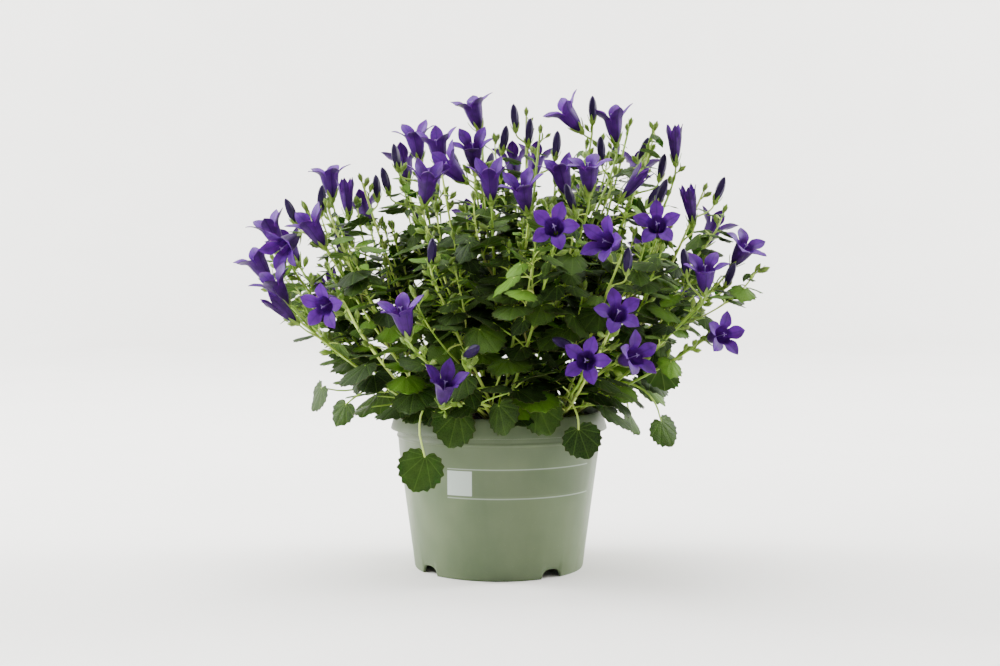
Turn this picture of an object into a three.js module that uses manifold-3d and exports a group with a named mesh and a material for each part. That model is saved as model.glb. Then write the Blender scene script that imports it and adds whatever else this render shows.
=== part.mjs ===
// A bellflower in bloom, grown in a round nursery pot. Millimetres, +Z up.
// The origin is the middle of the pot's foot and the front of the plant looks along -Y.

import * as THREE from 'three';
import { mergeVertices } from 'three/addons/utils/BufferGeometryUtils.js';
import Module from 'manifold-3d';

const wasm = await Module();
wasm.setup();

// Pot
const POT_HEIGHT = 87;
const POT_SEGMENTS = 36;
const WALL = 1.1;
const FOOT_RADIUS = 46.8;
const BODY_TOP_RADIUS = 56.3;
const SKIRT_BOTTOM_HEIGHT = 76.8;
const SKIRT_RADIUS = 60;
const RIM_RADIUS = 57.1;
const RING_HEIGHT = 72.5;
const FLOOR_HEIGHT = 6;
const NOTCH_COUNT = 4;
const NOTCH_WIDTH = 13;
const NOTCH_HEIGHT = 5;
const NOTCH_START = -53;

// Soil
const SOIL_LEVEL = 82.5;
const SEAT_GAP = 0.35;
const SOIL_SIDES = 22;
const SOIL_RINGS = [54.6, 45, 34, 23, 12];
const SOIL_CRUMB = 3;

// The space is shared out between ten clumps of shoots: three that rise inside a cone
// and seven that lean out of it, each in its own slice round the pot's axis.
const CONE_SLOPE = 0.42;
const CONE_FOOT = 10;
const INNER_SLICES = 3;
const OUTER_SLICES = 7;
const INNER_CROWN_REACH = 17;
const OUTER_CROWN_REACH = 42;
const CROWN_HEIGHT = 84;
const CROWN_RADIUS = 7;
const CROWN_RISE = 4;
const CROWN_SIDES = 7;
const SEAT_RISE = 10;
const STEM_SPACE = 2.6;
const SPREAD_ROUNDS = 30;
const CROWN_DEPTH = 9;
const FIRST_SLICE = -90;

// Stems, leaves and flowers
const STEM_RADIUS = 0.95;
const STEM_TIP_RADIUS = 0.55;
const STEM_STEPS = 6;
const JOINT_HALF = 1.3;
const STALK_RADIUS = 0.5;
const BLADE_FOLD = 0.2;
const CLEARANCE = 1;
const TUBE_LENGTH = 12;
const THROAT_RADIUS = 5.2;
const LOBE_LENGTH = 11.5;
const LOBE_HALF_WIDTH = 3.5;
const PETAL_THICKNESS = 0.8;
const GOLDEN_ANGLE = 137.5;
const SIDE_BUDS = 2;
const CLOSED_BELOW = 0.3;
const LARGE_FROM = 15;
const WIDEST_STEP = 0.5;
const CALYX_DEPTH = 3.5;
const CUP_RADIUS = 1.9;
const SEPAL_RADIUS = 4.6;
const SEPAL_RISE = 4.2;
const SEED = 46;

// Buds: height above the foot and radius, up to the pointed tip.
const GREEN_PROFILE = [[1.8, 1.5], [5.2, 0]];
const CLOSED_PROFILE = [[2.6, 1.8], [9, 2.3], [16.5, 0]];
const HALF_OPEN_PROFILE = [[3, 1.9], [14, 3.6], [25, 0]];

// Shoots that carry the flowers seen from the front. A flower is written as its calyx
// position, the way it faces, how far it is open (0 closed, 1 a flat star) and its turn.
const FRONT_SHOOTS = [
  { tip: [-119, -12, 176], flowers: [[-119, -12, 176, -8, -4, 17, 0.55, 10]] },
  { tip: [-123, -26, 158], flowers: [[-123, -26, 158, -9, -4, 15, 0.6, 40]] },
  {
    tip: [-110, -52, 146],
    flowers: [[-110, -52, 146, -8, -6, 16, 0.55, 0], [-104, -64, 138, -15, -7, 15, 0.15, 0]],
  },
  {
    tip: [-92, -2, 204],
    flowers: [[-92, -2, 204, -2, -3, 18, 0.8, 20], [-82, -12, 194, -1, 0, 12, 0.12, 0]],
  },
  {
    tip: [-102, -33, 196],
    flowers: [
      [-92, -43, 177, -7, -6, 13, 0.45, 0],
      [-106, -38, 182, -6, -10, -6, 0.5, 30],
      [-108, -33, 190, -5, -2, 12, 0, 0],
      [-94, -36, 196, 1, -2, 12, 0, 0],
    ],
  },
  { tip: [-82, -73, 149], flowers: [[-82, -73, 149, -5, -12, -3, 0.95, 12]] },
  { tip: [-44, -102, 132], flowers: [[-44, -102, 132, -3, -5, 13, 0.6, 30]] },
  { tip: [-28, -88, 98], flowers: [[-28, -88, 98, 2, -9, 12, 0.35, 0]] },
  {
    tip: [-75, -6, 212],
    flowers: [[-67, -2, 204, -1, 2, 12, 0, 0], [-84, -16, 172, -4, -5, 12, 0, 0]],
  },
  {
    tip: [-44, -2, 225],
    flowers: [
      [-44, -2, 225, -2, -4, 13, 0.6, 0],
      [-56, 0, 221, -2, 0, 12, 0, 0],
      [-61, -4, 208, -3, -2, 12, 0, 0],
    ],
  },
  { tip: [-31, -26, 219], flowers: [[-31, -26, 219, -2, -4, 13, 0.42, 36]] },
  { tip: [-52, 24, 214], flowers: [[-52, 24, 214, -2, 3, 10, 0.45, 0]] },
  {
    tip: [-13, -22, 219],
    flowers: [[-13, -22, 219, -1, -8, 11, 0.6, 0], [-18, -39, 211, -10, -6, 9, 0.5, 20]],
  },
  {
    tip: [-11, -7, 241],
    flowers: [[-11, -7, 241, -4, -3, 14, 0.75, 30], [2, -9, 230, 2, -1, 12, 0, 0]],
  },
  { tip: [-38, -62, 198], flowers: [[-38, -62, 198, 2, -5, 13, 0.38, 0]] },
  { tip: [-4, -54, 200], flowers: [[-4, -54, 200, -1, -5, 14, 0.4, 0]] },
  { tip: [9, 26, 215], flowers: [[9, 26, 215, -1, 4, 12, 0.45, 0]] },
  {
    tip: [15, -4, 248],
    flowers: [[9, -6, 242, -1, 0, 12, 0, 0], [16, -8, 234, 1, -3, 12, 0, 0]],
  },
  { tip: [22, -20, 237], flowers: [[30, -31, 225, 1, -3, 12, 0, 0]] },
  { tip: [14, -68, 194], flowers: [[14, -68, 194, -3, -7, 14, 0.55, 10]] },
  { tip: [28, -92, 182], flowers: [[28, -92, 182, -1.5, -14, 3, 0.98, 0]] },
  { tip: [36, -34, 204], flowers: [[36, -34, 204, -4, -4, 14, 0.42, 0]] },
  {
    tip: [46, -62, 204],
    flowers: [[46, -62, 204, -1, -6, 16, 0.8, 14], [38, -58, 196, -4, -3, 12, 0, 0]],
  },
  {
    tip: [51, -9, 246],
    flowers: [[51, -9, 246, 0, 0, 13, 0, 0], [44, -12, 240, -8, -3, 9, 0.6, 0]],
  },
  {
    tip: [64, -6, 234],
    flowers: [[64, -6, 234, -2, -3, 13, 0.5, 20], [56, -10, 224, -1, -3, 12, 0, 0]],
  },
  { tip: [72, 2, 243], flowers: [[78, 0, 225, 4, 0, 11, 0, 0]] },
  { tip: [84, -6, 239], flowers: [[88, -8, 215, 2, -3, 11, 0, 0]] },
  {
    tip: [75, -34, 217],
    flowers: [[65, -42, 202, 9, -4, 12, 0.15, 0], [84, -38, 200, 4, -4, 12, 0, 0]],
  },
  { tip: [96, -12, 223], flowers: [[96, -12, 223, -1, -2, 16, 0.12, 0]] },
  {
    tip: [110, -20, 206],
    flowers: [[104, -23, 190, -3, -4, 15, 0.12, 0], [117, -20, 202, 4, -1, 11, 0, 0]],
  },
  { tip: [80, -69, 182], flowers: [[80, -69, 182, -1.5, -13, 5, 0.98, 20]] },
  {
    tip: [125, -30, 167],
    flowers: [[125, -30, 167, 6, -8, 11, 0.85, 0], [120, -39, 157, 3, -6, 10, 0, 0]],
  },
  {
    tip: [106, -57, 153],
    flowers: [[106, -57, 153, -1, -7, 13, 0.7, 0], [96, -59, 163, -2, -4, 12, 0, 0]],
  },
  { tip: [110, -44, 128], flowers: [[110, -44, 128, 7, -13, 3, 0.95, 8]] },
  {
    tip: [56, -94, 138],
    flowers: [[56, -94, 138, 1.5, -13, 6, 0.98, 30], [36, -83, 126, -9, -7, 4, 0, 0]],
  },
  {
    tip: [59, -86, 176],
    flowers: [[59, -86, 176, -7, -10, 2, 0.6, 0], [63, -90, 164, 0, -7, 11, 0, 0]],
  },
  { tip: [44, -84, 119], flowers: [[44, -84, 119, -1.5, -14, 1, 0.95, 0]] },
  { tip: [61, -74, 118], flowers: [[61, -74, 118, 8, -12, 4, 0.8, 20]] },
  { tip: [-16, -94, 122], flowers: [[-16, -94, 122, 6, -9, 5, 0, 0]] },
  { tip: [-34, -74, 168], flowers: [[-34, -74, 168, 1, -5, 12, 0, 0]] },
];

// Shoots of the far side.
const BACK_SHOOTS = [
  { tip: [-116, 33, 168], flowers: [[-116, 33, 168, -9, 6, 15, 0.55, 0]] },
  { tip: [-97, 60, 146], flowers: [[-97, 60, 146, -7, 9, 11, 0.8, 18]] },
  {
    tip: [-76, 48, 190],
    flowers: [[-76, 48, 190, -5, 6, 15, 0.6, 0], [-86, 42, 180, -6, 2, 11, 0, 0]],
  },
  { tip: [-57, 85, 154], flowers: [[-57, 85, 154, -5, 13, 8, 0.9, 0]] },
  {
    tip: [-38, 58, 205],
    flowers: [[-38, 58, 205, -3, 5, 15, 0.7, 24], [-48, 56, 194, -5, 4, 11, 0, 0]],
  },
  { tip: [-16, 76, 186], flowers: [[-16, 76, 186, -1, 9, 12, 0.6, 0]] },
  { tip: [-12, 104, 140], flowers: [[-12, 104, 140, 0, 13, 7, 0.85, 10]] },
  {
    tip: [-14, 38, 232],
    flowers: [[-24, 34, 222, -4, 3, 11, 0, 0], [-7, 42, 221, 3, 4, 11, 0, 0]],
  },
  { tip: [20, 54, 218], flowers: [[20, 54, 218, 2, 5, 15, 0.55, 0]] },
  {
    tip: [24, 92, 172],
    flowers: [[24, 92, 172, 1, 10, 11, 0.75, 0], [14, 88, 162, -3, 9, 8, 0, 0]],
  },
  { tip: [50, 64, 200], flowers: [[50, 64, 200, 3, 8, 14, 0.6, 12]] },
  { tip: [55, 92, 136], flowers: [[55, 92, 136, 5, 12, 7, 0.9, 0]] },
  {
    tip: [78, 40, 213],
    flowers: [[78, 40, 213, 4, 5, 15, 0.65, 0], [86, 34, 202, 6, 2, 10, 0, 0]],
  },
  { tip: [82, 72, 166], flowers: [[82, 72, 166, 6, 8, 12, 0.7, 6]] },
  { tip: [106, 50, 144], flowers: [[106, 50, 144, 9, 7, 10, 0.8, 0]] },
  {
    tip: [116, 18, 178],
    flowers: [[116, 18, 178, 8, 4, 14, 0.55, 0], [109, 22, 188, 2, 3, 11, 0, 0]],
  },
  { tip: [58, 18, 236], flowers: [[64, 22, 226, 4, 4, 11, 0, 0]] },
  { tip: [-98, 24, 196], flowers: [[-92, 28, 184, 0, 6, 11, 0, 0]] },
];

// Shoots that hang over the rim, with the points they pass on the way and a leaf at the end.
const TRAILERS = [
  { via: [[-33, -49, 98], [-41, -58, 88]], tip: [-38, -62, 68], leaf: 19 },
  { via: [[33, -47, 98], [40, -57, 91]], tip: [41, -61, 82], leaf: 16 },
  { via: [[1, -50, 99], [1, -60, 100]], tip: [0, -69, 95], leaf: 16 },
  { via: [[-18, -54, 98]], tip: [-21, -64, 91], leaf: 19 },
  { via: [[16, -56, 98]], tip: [20, -64, 95], leaf: 17 },
  { via: [[-60, -22, 104], [-74, -26, 98]], tip: [-82, -30, 92], leaf: 13 },
  { via: [[66, -24, 104], [82, -22, 96]], tip: [88, -20, 82], leaf: 15 },
  { via: [[-62, 16, 102], [-82, 12, 96]], tip: [-100, 10, 98], leaf: 15 },
  { via: [[60, 32, 102], [72, 40, 94]], tip: [76, 43, 82], leaf: 16 },
  { via: [[-40, 52, 102], [-48, 62, 93]], tip: [-50, 66, 80], leaf: 18 },
  { via: [[8, 54, 99], [10, 65, 94]], tip: [9, 69, 80], leaf: 18 },
];

// Half of a leaf's outline for a blade one unit long, from its stalk to its tip: across,
// then along. The rib's points lie along the middle.
const LARGE_OUTLINE = [[0.24, -0.1], [0.47, 0.06], [0.44, 0.24], [0.54, 0.38], [0.36, 0.52], [0.37, 0.68]];
const LARGE_RIB = [0.2, 0.6];
const SMALL_OUTLINE = [[0.26, -0.06], [0.48, 0.16], [0.36, 0.36], [0.36, 0.56]];
const SMALL_RIB = [0.36];

const radians = (degrees) => (degrees * Math.PI) / 180;
const vec = (list) => new THREE.Vector3(list[0], list[1], list[2]);
const UP = new THREE.Vector3(0, 0, 1);
const X_AXIS = new THREE.Vector3(1, 0, 0);
const Y_AXIS = new THREE.Vector3(0, 1, 0);

// Draws between 0 and 1 that come out alike each time.
function seeded(seed) {
  let state = seed;
  return () => {
    state = (state * 1664525 + 1013904223) % 4294967296;
    return state / 4294967296;
  };
}

// A closed solid from its points and triangles, turned so that its faces point out.
function solidOf(points, triangles) {
  const flat = [];
  points.forEach((p) => flat.push(p.x, p.y, p.z));
  let volume = 0;
  triangles.forEach(([a, b, c]) => {
    volume += points[a].dot(new THREE.Vector3().crossVectors(points[b], points[c]));
  });
  const faces = volume < 0 ? triangles.map(([a, b, c]) => [a, c, b]) : triangles;
  const mesh = new wasm.Mesh({
    numProp: 3,
    vertProperties: new Float32Array(flat),
    triVerts: new Uint32Array(faces.flat()),
  });
  return new wasm.Manifold(mesh);
}

function solidOfGeometry(geometry) {
  geometry.deleteAttribute('normal');
  geometry.deleteAttribute('uv');
  const merged = mergeVertices(geometry, 1e-4);
  const index = merged.index.array;
  const place = merged.attributes.position;
  const points = [];
  for (let i = 0; i < place.count; i += 1) {
    points.push(new THREE.Vector3().fromBufferAttribute(place, i));
  }
  const triangles = [];
  for (let i = 0; i < index.length; i += 3) {
    const face = [index[i], index[i + 1], index[i + 2]];
    if (new Set(face).size === 3) {
      triangles.push(face);
    }
  }
  return solidOf(points, triangles);
}

// Rings of points skinned to a closed solid. A ring of one point is a pointed end.
function loft(rings) {
  const points = [];
  const starts = rings.map((ring) => {
    points.push(...ring);
    return points.length - ring.length;
  });
  const sides = Math.max(...rings.map((ring) => ring.length));
  const triangles = [];
  for (let r = 0; r + 1 < rings.length; r += 1) {
    const low = (k) => starts[r] + (rings[r].length === 1 ? 0 : k % sides);
    const high = (k) => starts[r + 1] + (rings[r + 1].length === 1 ? 0 : k % sides);
    for (let k = 0; k < sides; k += 1) {
      if (rings[r].length > 1) {
        triangles.push([low(k), low(k + 1), high(k)]);
      }
      if (rings[r + 1].length > 1) {
        triangles.push([low(k + 1), high(k + 1), high(k)]);
      }
    }
  }
  const last = rings.length - 1;
  for (let k = 1; k + 1 < sides; k += 1) {
    if (rings[0].length > 1) {
      triangles.push([starts[0], starts[0] + k + 1, starts[0] + k]);
    }
    if (rings[last].length > 1) {
      triangles.push([starts[last], starts[last] + k, starts[last] + k + 1]);
    }
  }
  return solidOf(points, triangles);
}

// Two directions square to a given one.
function sideways(direction) {
  const seedAxis = Math.abs(direction.z) > 0.8 ? new THREE.Vector3(1, 0, 0) : UP;
  const u = new THREE.Vector3().crossVectors(seedAxis, direction).normalize();
  const v = new THREE.Vector3().crossVectors(direction, u).normalize();
  return [u, v];
}

function ringRound(centre, u, v, radius, sides) {
  const ring = [];
  for (let k = 0; k < sides; k += 1) {
    const a = (2 * Math.PI * k) / sides;
    const [x, y] = [radius * Math.cos(a), radius * Math.sin(a)];
    ring.push(centre.clone().addScaledVector(u, x).addScaledVector(v, y));
  }
  return ring;
}

// A surface that grows. Rings of three points are bridged by triangles, and any of those
// triangles can be opened so that a branch, a bud or a leaf grows out of it.
class Skin {
  constructor() {
    this.points = [];
    this.faces = [];
  }

  add(points) {
    return points.map((p) => this.points.push(p) - 1);
  }

  span(a, b) {
    return this.points[a].distanceTo(this.points[b]);
  }

  // Joins two rings, the four-sided fields split along the diagonals that are shorter in all.
  bridge(low, high) {
    const made = [];
    const n = low.length;
    const back = low.reduce((sum, a, k) => sum + this.span(low[(k + 1) % n], high[k % high.length]), 0);
    const ahead = low.reduce((sum, a, k) => sum + this.span(a, high[(k + 1) % high.length]), 0);
    for (let k = 0; k < n; k += 1) {
      const next = (k + 1) % n;
      if (high.length === 1) {
        made.push([low[k], low[next], high[0]]);
      } else if (back <= ahead) {
        made.push([low[k], low[next], high[k]], [low[next], high[next], high[k]]);
      } else {
        made.push([low[k], low[next], high[next]], [low[k], high[next], high[k]]);
      }
    }
    this.faces.push(...made);
    return made;
  }

  // Joins rings with different numbers of points.
  zip(low, high) {
    let i = 0;
    let j = 0;
    while (i < low.length || j < high.length) {
      const a = low[i % low.length];
      const b = high[j % high.length];
      if (i < low.length && (i + 1) * high.length <= (j + 1) * low.length) {
        i += 1;
        this.faces.push([a, low[i % low.length], b]);
      } else {
        j += 1;
        this.faces.push([a, high[j % high.length], b]);
      }
    }
  }

  normal([a, b, c]) {
    const [p, q, r] = [this.points[a], this.points[b], this.points[c]];
    return new THREE.Vector3().subVectors(q, p).cross(new THREE.Vector3().subVectors(r, p)).normalize();
  }

  middle(face) {
    const sum = new THREE.Vector3();
    face.forEach((n) => sum.add(this.points[n]));
    return sum.divideScalar(face.length);
  }

  // Opens the face that looks most in the given direction.
  open(faces, direction) {
    const free = faces.filter((face) => this.faces.includes(face));
    const facing = (face) => this.normal(face).dot(direction);
    const best = free.reduce((a, b) => (facing(b) > facing(a) ? b : a));
    this.faces.splice(this.faces.indexOf(best), 1);
    return best;
  }

  // A ring of three points round a centre, turned as the ring it follows.
  ringAfter(ring, centre, axis, radius) {
    const middle = this.middle(ring);
    const ways = ring.map((n) => {
      const way = new THREE.Vector3().subVectors(this.points[n], middle);
      return way.addScaledVector(axis, -way.dot(axis)).normalize();
    });
    const first = ways[0].sub(ways[1].add(ways[2]).multiplyScalar(0.5)).normalize();
    return this.add([0, 120, 240].map((turn) => {
      return centre.clone().addScaledVector(first.clone().applyAxisAngle(axis, radians(turn)), radius);
    }));
  }

  // The same with one point toward a given side, in step with the ring it follows.
  ringToward(side, ring, centre, axis, radius) {
    const first = side.clone().addScaledVector(axis, -side.dot(axis)).normalize();
    const points = [0, 120, 240].map((turn) => {
      return centre.clone().addScaledVector(first.clone().applyAxisAngle(axis, radians(turn)), radius);
    });
    const reach = (k) => ring.reduce((sum, n, i) => sum + this.points[n].distanceTo(points[(i + k) % 3]), 0);
    const shift = [0, 1, 2].reduce((best, k) => (reach(k) < reach(best) ? k : best), 0);
    return this.add(ring.map((n, i) => points[(i + shift) % 3]));
  }
}

// Clumps

const CLUMPS = [];

function addClumps(kind, count, reach) {
  for (let k = 0; k < count; k += 1) {
    const middle = FIRST_SLICE + (360 * k) / count;
    const a = radians(middle);
    CLUMPS.push({
      name: `${kind}_shoots_${k + 1}`,
      inner: kind === 'inner',
      middle,
      half: 180 / count,
      centre: new THREE.Vector3(reach * Math.cos(a), reach * Math.sin(a), CROWN_HEIGHT),
      shoots: [],
    });
  }
}

addClumps('inner', INNER_SLICES, INNER_CROWN_REACH);
addClumps('outer', OUTER_SLICES, OUTER_CROWN_REACH);

// How deep a point lies inside a clump's share of the space, in millimetres.
function depthInside(point, clump) {
  const reach = Math.hypot(point.x, point.y);
  const turn = (Math.atan2(point.y, point.x) * 180) / Math.PI - clump.middle;
  const off = Math.abs(turn - 360 * Math.round(turn / 360));
  const cone = (CONE_SLOPE * (point.z - CONE_FOOT) - reach) / Math.hypot(1, CONE_SLOPE);
  const side = reach * Math.sin(radians(Math.min(clump.half - off, 90)));
  return Math.min(clump.inner ? cone : -cone, side);
}

function clumpOf(point) {
  const depth = (clump) => depthInside(point, clump);
  return CLUMPS.reduce((best, clump) => (depth(clump) > depth(best) ? clump : best));
}

// Shoots and what they carry

function flowerOf(list) {
  const [x, y, z, dx, dy, dz, open, turn] = list;
  const base = new THREE.Vector3(x, y, z);
  const axis = new THREE.Vector3(dx, dy, dz).normalize();
  const foot = base.clone().addScaledVector(axis, -CALYX_DEPTH);
  return { base, axis, foot, open, turn: radians(turn), wide: open > CLOSED_BELOW };
}

const SHOOTS = [...FRONT_SHOOTS, ...BACK_SHOOTS, ...TRAILERS].map((entry) => {
  const tip = vec(entry.tip);
  const flowers = (entry.flowers || []).map(flowerOf);
  const last = flowers.find((flower) => flower.base.distanceTo(tip) < 1) || null;
  return {
    tip: last ? last.foot : tip,
    last,
    flowers: flowers.filter((flower) => flower !== last),
    via: (entry.via || []).map(vec),
    endLeaf: entry.leaf || 0,
    clump: clumpOf(tip),
    branches: [],
  };
});

// What already fills the space: round bars, some of them a shoot's own stem, and flat blades.
const BARS = [];
const BLADES = [];

function addBar(a, b, radius, stemOf = null) {
  BARS.push({ a, b, radius, stemOf });
}

// Round spaces that cover an open flower.
function guards(flower) {
  const at = (h) => flower.base.clone().addScaledVector(flower.axis, h);
  return [[at(3), 4.6], [at(9), 6.6], [at(15), 6 + 5.5 * flower.open]];
}

const GUARDS = [];
SHOOTS.forEach((shoot) => {
  [...shoot.flowers, shoot.last].filter((flower) => flower && flower.wide).forEach((flower) => {
    guards(flower).forEach(([centre, radius]) => {
      GUARDS.push({ centre, radius, flower });
      addBar(centre, centre, radius);
    });
  });
});

function pushedClear(point, shoot, space) {
  const moved = point.clone();
  GUARDS.filter((guard) => guard.flower !== shoot.last).forEach((guard) => {
    const away = new THREE.Vector3().subVectors(moved, guard.centre);
    const reach = guard.radius + space;
    if (away.length() < reach) {
      moved.copy(guard.centre).addScaledVector(away.normalize(), reach);
    }
  });
  return moved;
}

// The line a shoot takes from its seat on the crown: low and outward first, then up.
function lineOf(shoot, start, normal) {
  const rise = start.clone().addScaledVector(normal, SEAT_RISE);
  let curve = new THREE.CatmullRomCurve3([start, rise, ...shoot.via, shoot.tip]);
  if (shoot.via.length === 0) {
    const bend = rise.clone().lerp(shoot.tip, 0.55);
    bend.z = Math.max(rise.z + 0.4 * (shoot.tip.z - rise.z), Math.min(104, shoot.tip.z + 6));
    curve = new THREE.CubicBezierCurve3(start, rise, bend, shoot.tip);
  }
  const line = [];
  for (let i = 0; i <= STEM_STEPS; i += 1) {
    const p = curve.getPoint(i / STEM_STEPS);
    line.push(i > 0 && i < STEM_STEPS ? pushedClear(p, shoot, 1.5) : p);
  }
  return line;
}

function lengthOf(line) {
  return line.slice(1).reduce((sum, p, i) => sum + p.distanceTo(line[i]), 0);
}

function along(line, t) {
  const place = Math.min(Math.max(t, 0), 0.9999) * (line.length - 1);
  const i = Math.floor(place);
  return line[i].clone().lerp(line[i + 1], place - i);
}

function wayAlong(line, t) {
  return new THREE.Vector3().subVectors(along(line, t + 0.03), along(line, t - 0.03)).normalize();
}

// Seats: a crown is a low dome, and each shoot starts on the face that looks its way.
CLUMPS.forEach((clump) => {
  clump.shoots = SHOOTS.filter((shoot) => shoot.clump === clump);
  clump.skin = new Skin();
  const ring = (z, radius) => {
    return clump.skin.add(ringRound(clump.centre.clone().setZ(z), X_AXIS, Y_AXIS, radius, CROWN_SIDES));
  };
  const low = ring(CROWN_HEIGHT - CROWN_DEPTH, CROWN_RADIUS * 0.6);
  const edge = ring(CROWN_HEIGHT, CROWN_RADIUS);
  const shoulder = ring(CROWN_HEIGHT + CROWN_RISE * 0.7, CROWN_RADIUS * 0.62);
  const apex = clump.skin.add([clump.centre.clone().setZ(CROWN_HEIGHT + CROWN_RISE)]);
  for (let k = 1; k + 1 < CROWN_SIDES; k += 1) {
    clump.skin.faces.push([low[0], low[k + 1], low[k]]);
  }
  clump.skin.bridge(low, edge);
  const seats = [...clump.skin.bridge(edge, shoulder), ...clump.skin.bridge(shoulder, apex)];
  const wishes = clump.shoots.flatMap((shoot) => {
    const way = new THREE.Vector3().subVectors(shoot.via[0] || shoot.tip, clump.centre).normalize();
    return seats.map((seat) => ({ shoot, seat, fit: clump.skin.normal(seat).dot(way) }));
  });
  wishes.sort((p, q) => q.fit - p.fit).forEach(({ shoot, seat }) => {
    if (!shoot.seat && clump.skin.faces.includes(seat)) {
      shoot.seat = seat;
      const start = clump.skin.middle(seat);
      shoot.line = lineOf(shoot, start, clump.skin.normal(seat));
      clump.skin.faces.splice(clump.skin.faces.indexOf(seat), 1);
    }
  });
});

// Where two segments come nearest: how far along each, and the vector between.
function nearest(a, b, c, d) {
  const u = new THREE.Vector3().subVectors(b, a);
  const v = new THREE.Vector3().subVectors(d, c);
  const w = new THREE.Vector3().subVectors(a, c);
  const [uu, uv, vv, uw, vw] = [u.dot(u), u.dot(v), v.dot(v), u.dot(w), v.dot(w)];
  const clamp = (x) => Math.min(Math.max(x, 0), 1);
  const across = uu * vv - uv * uv;
  let s = across > 1e-9 ? clamp((uv * vw - vv * uw) / across) : 0;
  const t = vv > 1e-9 ? clamp((uv * s + vw) / vv) : 0;
  s = uu > 1e-9 ? clamp((uv * t - uw) / uu) : 0;
  return { s, t, gap: w.addScaledVector(u, s).addScaledVector(v, -t) };
}

// Bends stems that would touch apart, a little each round.
function spreadStems(rounds) {
  const ease = (shoot, i, share, push) => {
    if (i > 0 && i < STEM_STEPS) {
      shoot.line[i].addScaledVector(push, share);
    }
  };
  for (let round = 0; round < rounds; round += 1) {
    SHOOTS.forEach((p, n) => SHOOTS.slice(n + 1).forEach((q) => {
      for (let i = 0; i < STEM_STEPS; i += 1) {
        for (let j = 0; j < STEM_STEPS; j += 1) {
          const { s, t, gap } = nearest(p.line[i], p.line[i + 1], q.line[j], q.line[j + 1]);
          const away = gap.length();
          if (away < STEM_SPACE && i + j + s + t > 0.5) {
            const push = gap.divideScalar(Math.max(away, 0.01)).multiplyScalar((STEM_SPACE - away) * 0.6);
            ease(p, i, 1 - s, push);
            ease(p, i + 1, s, push);
            ease(q, j, t - 1, push);
            ease(q, j + 1, -t, push);
          }
        }
      }
    }));
  }
}

spreadStems(SPREAD_ROUNDS);
SHOOTS.forEach((shoot) => {
  shoot.length = lengthOf(shoot.line);
  shoot.line.slice(1).forEach((p, i) => addBar(shoot.line[i], p, STEM_RADIUS, shoot));
});

// Whether a branch would leave a shoot right beside another one.
function crowded(shoot, t, way) {
  return shoot.branches.some((other) => {
    const otherWay = new THREE.Vector3().subVectors(other.end, along(shoot.line, other.t)).normalize();
    return Math.abs(other.t - t) * shoot.length < 4 && otherWay.dot(way) > 0;
  });
}

// Stalked flowers and buds that stand out from the side of a shoot.
SHOOTS.forEach((shoot, number) => {
  shoot.flowers.forEach((flower) => {
    let best = 0.4;
    const cost = (t) => {
      const q = along(shoot.line, t);
      return q.distanceTo(flower.foot) + 1.2 * Math.abs(flower.foot.z - q.z - 8);
    };
    for (let t = 0.4; t < 0.97; t += 0.02) {
      best = cost(t) < cost(best) ? t : best;
    }
    shoot.branches.push({ t: best, end: flower.foot, flower });
    addBar(along(shoot.line, best), flower.foot, STALK_RADIUS);
    if (!flower.wide) {
      addBar(flower.base, flower.base.clone().addScaledVector(flower.axis, 12), 2.2);
    }
  });
  const draw = seeded(SEED + number);
  for (let k = 0; k < (shoot.endLeaf > 0 ? 0 : SIDE_BUDS); k += 1) {
    const t = 0.93 - 0.1 * k - 0.03 * draw();
    const root = along(shoot.line, t);
    const stemWay = wayAlong(shoot.line, t);
    const side = sideways(stemWay)[0].applyAxisAngle(stemWay, radians(GOLDEN_ANGLE * k + 360 * draw()));
    const way = stemWay.multiplyScalar(0.7).add(side).normalize();
    const end = root.clone().addScaledVector(way, 3 + 1.5 * k);
    const tip = end.clone().addScaledVector(way, 5.5);
    const free = BARS.every((bar) => bar.stemOf === shoot || gapToBar(end, tip, bar) > 2.2);
    if (free && !crowded(shoot, t, way)) {
      shoot.branches.push({ t, end, bud: way });
      addBar(root, tip, 1.5);
    }
  }
});

// Least distance between the segment a-b and a bar's surface.
function gapToBar(a, b, bar) {
  return nearest(a, b, bar.a, bar.b).gap.length() - bar.radius;
}

// Whether the segment a-b passes within a blade's round outline, widened by some space.
function meetsBlade(a, b, disc, space) {
  const rise = (p) => new THREE.Vector3().subVectors(p, disc.centre).dot(disc.normal);
  const way = new THREE.Vector3().subVectors(b, a);
  const [ra, rb] = [rise(a), rise(b)];
  const crossing = ra * rb < 0 ? ra / (ra - rb) : Number(Math.abs(rb) < Math.abs(ra));
  const square = way.lengthSq();
  const abreast = square > 1e-9 ? new THREE.Vector3().subVectors(disc.centre, a).dot(way) / square : 0;
  return [crossing, Math.min(Math.max(abreast, 0), 1)].some((t) => {
    const p = a.clone().addScaledVector(way, t);
    const lift = rise(p);
    const reach = p.distanceTo(disc.centre);
    const off = Math.sqrt(Math.max(reach * reach - lift * lift, 0));
    return Math.abs(lift) < space && off < disc.radius + space;
  });
}

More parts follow.
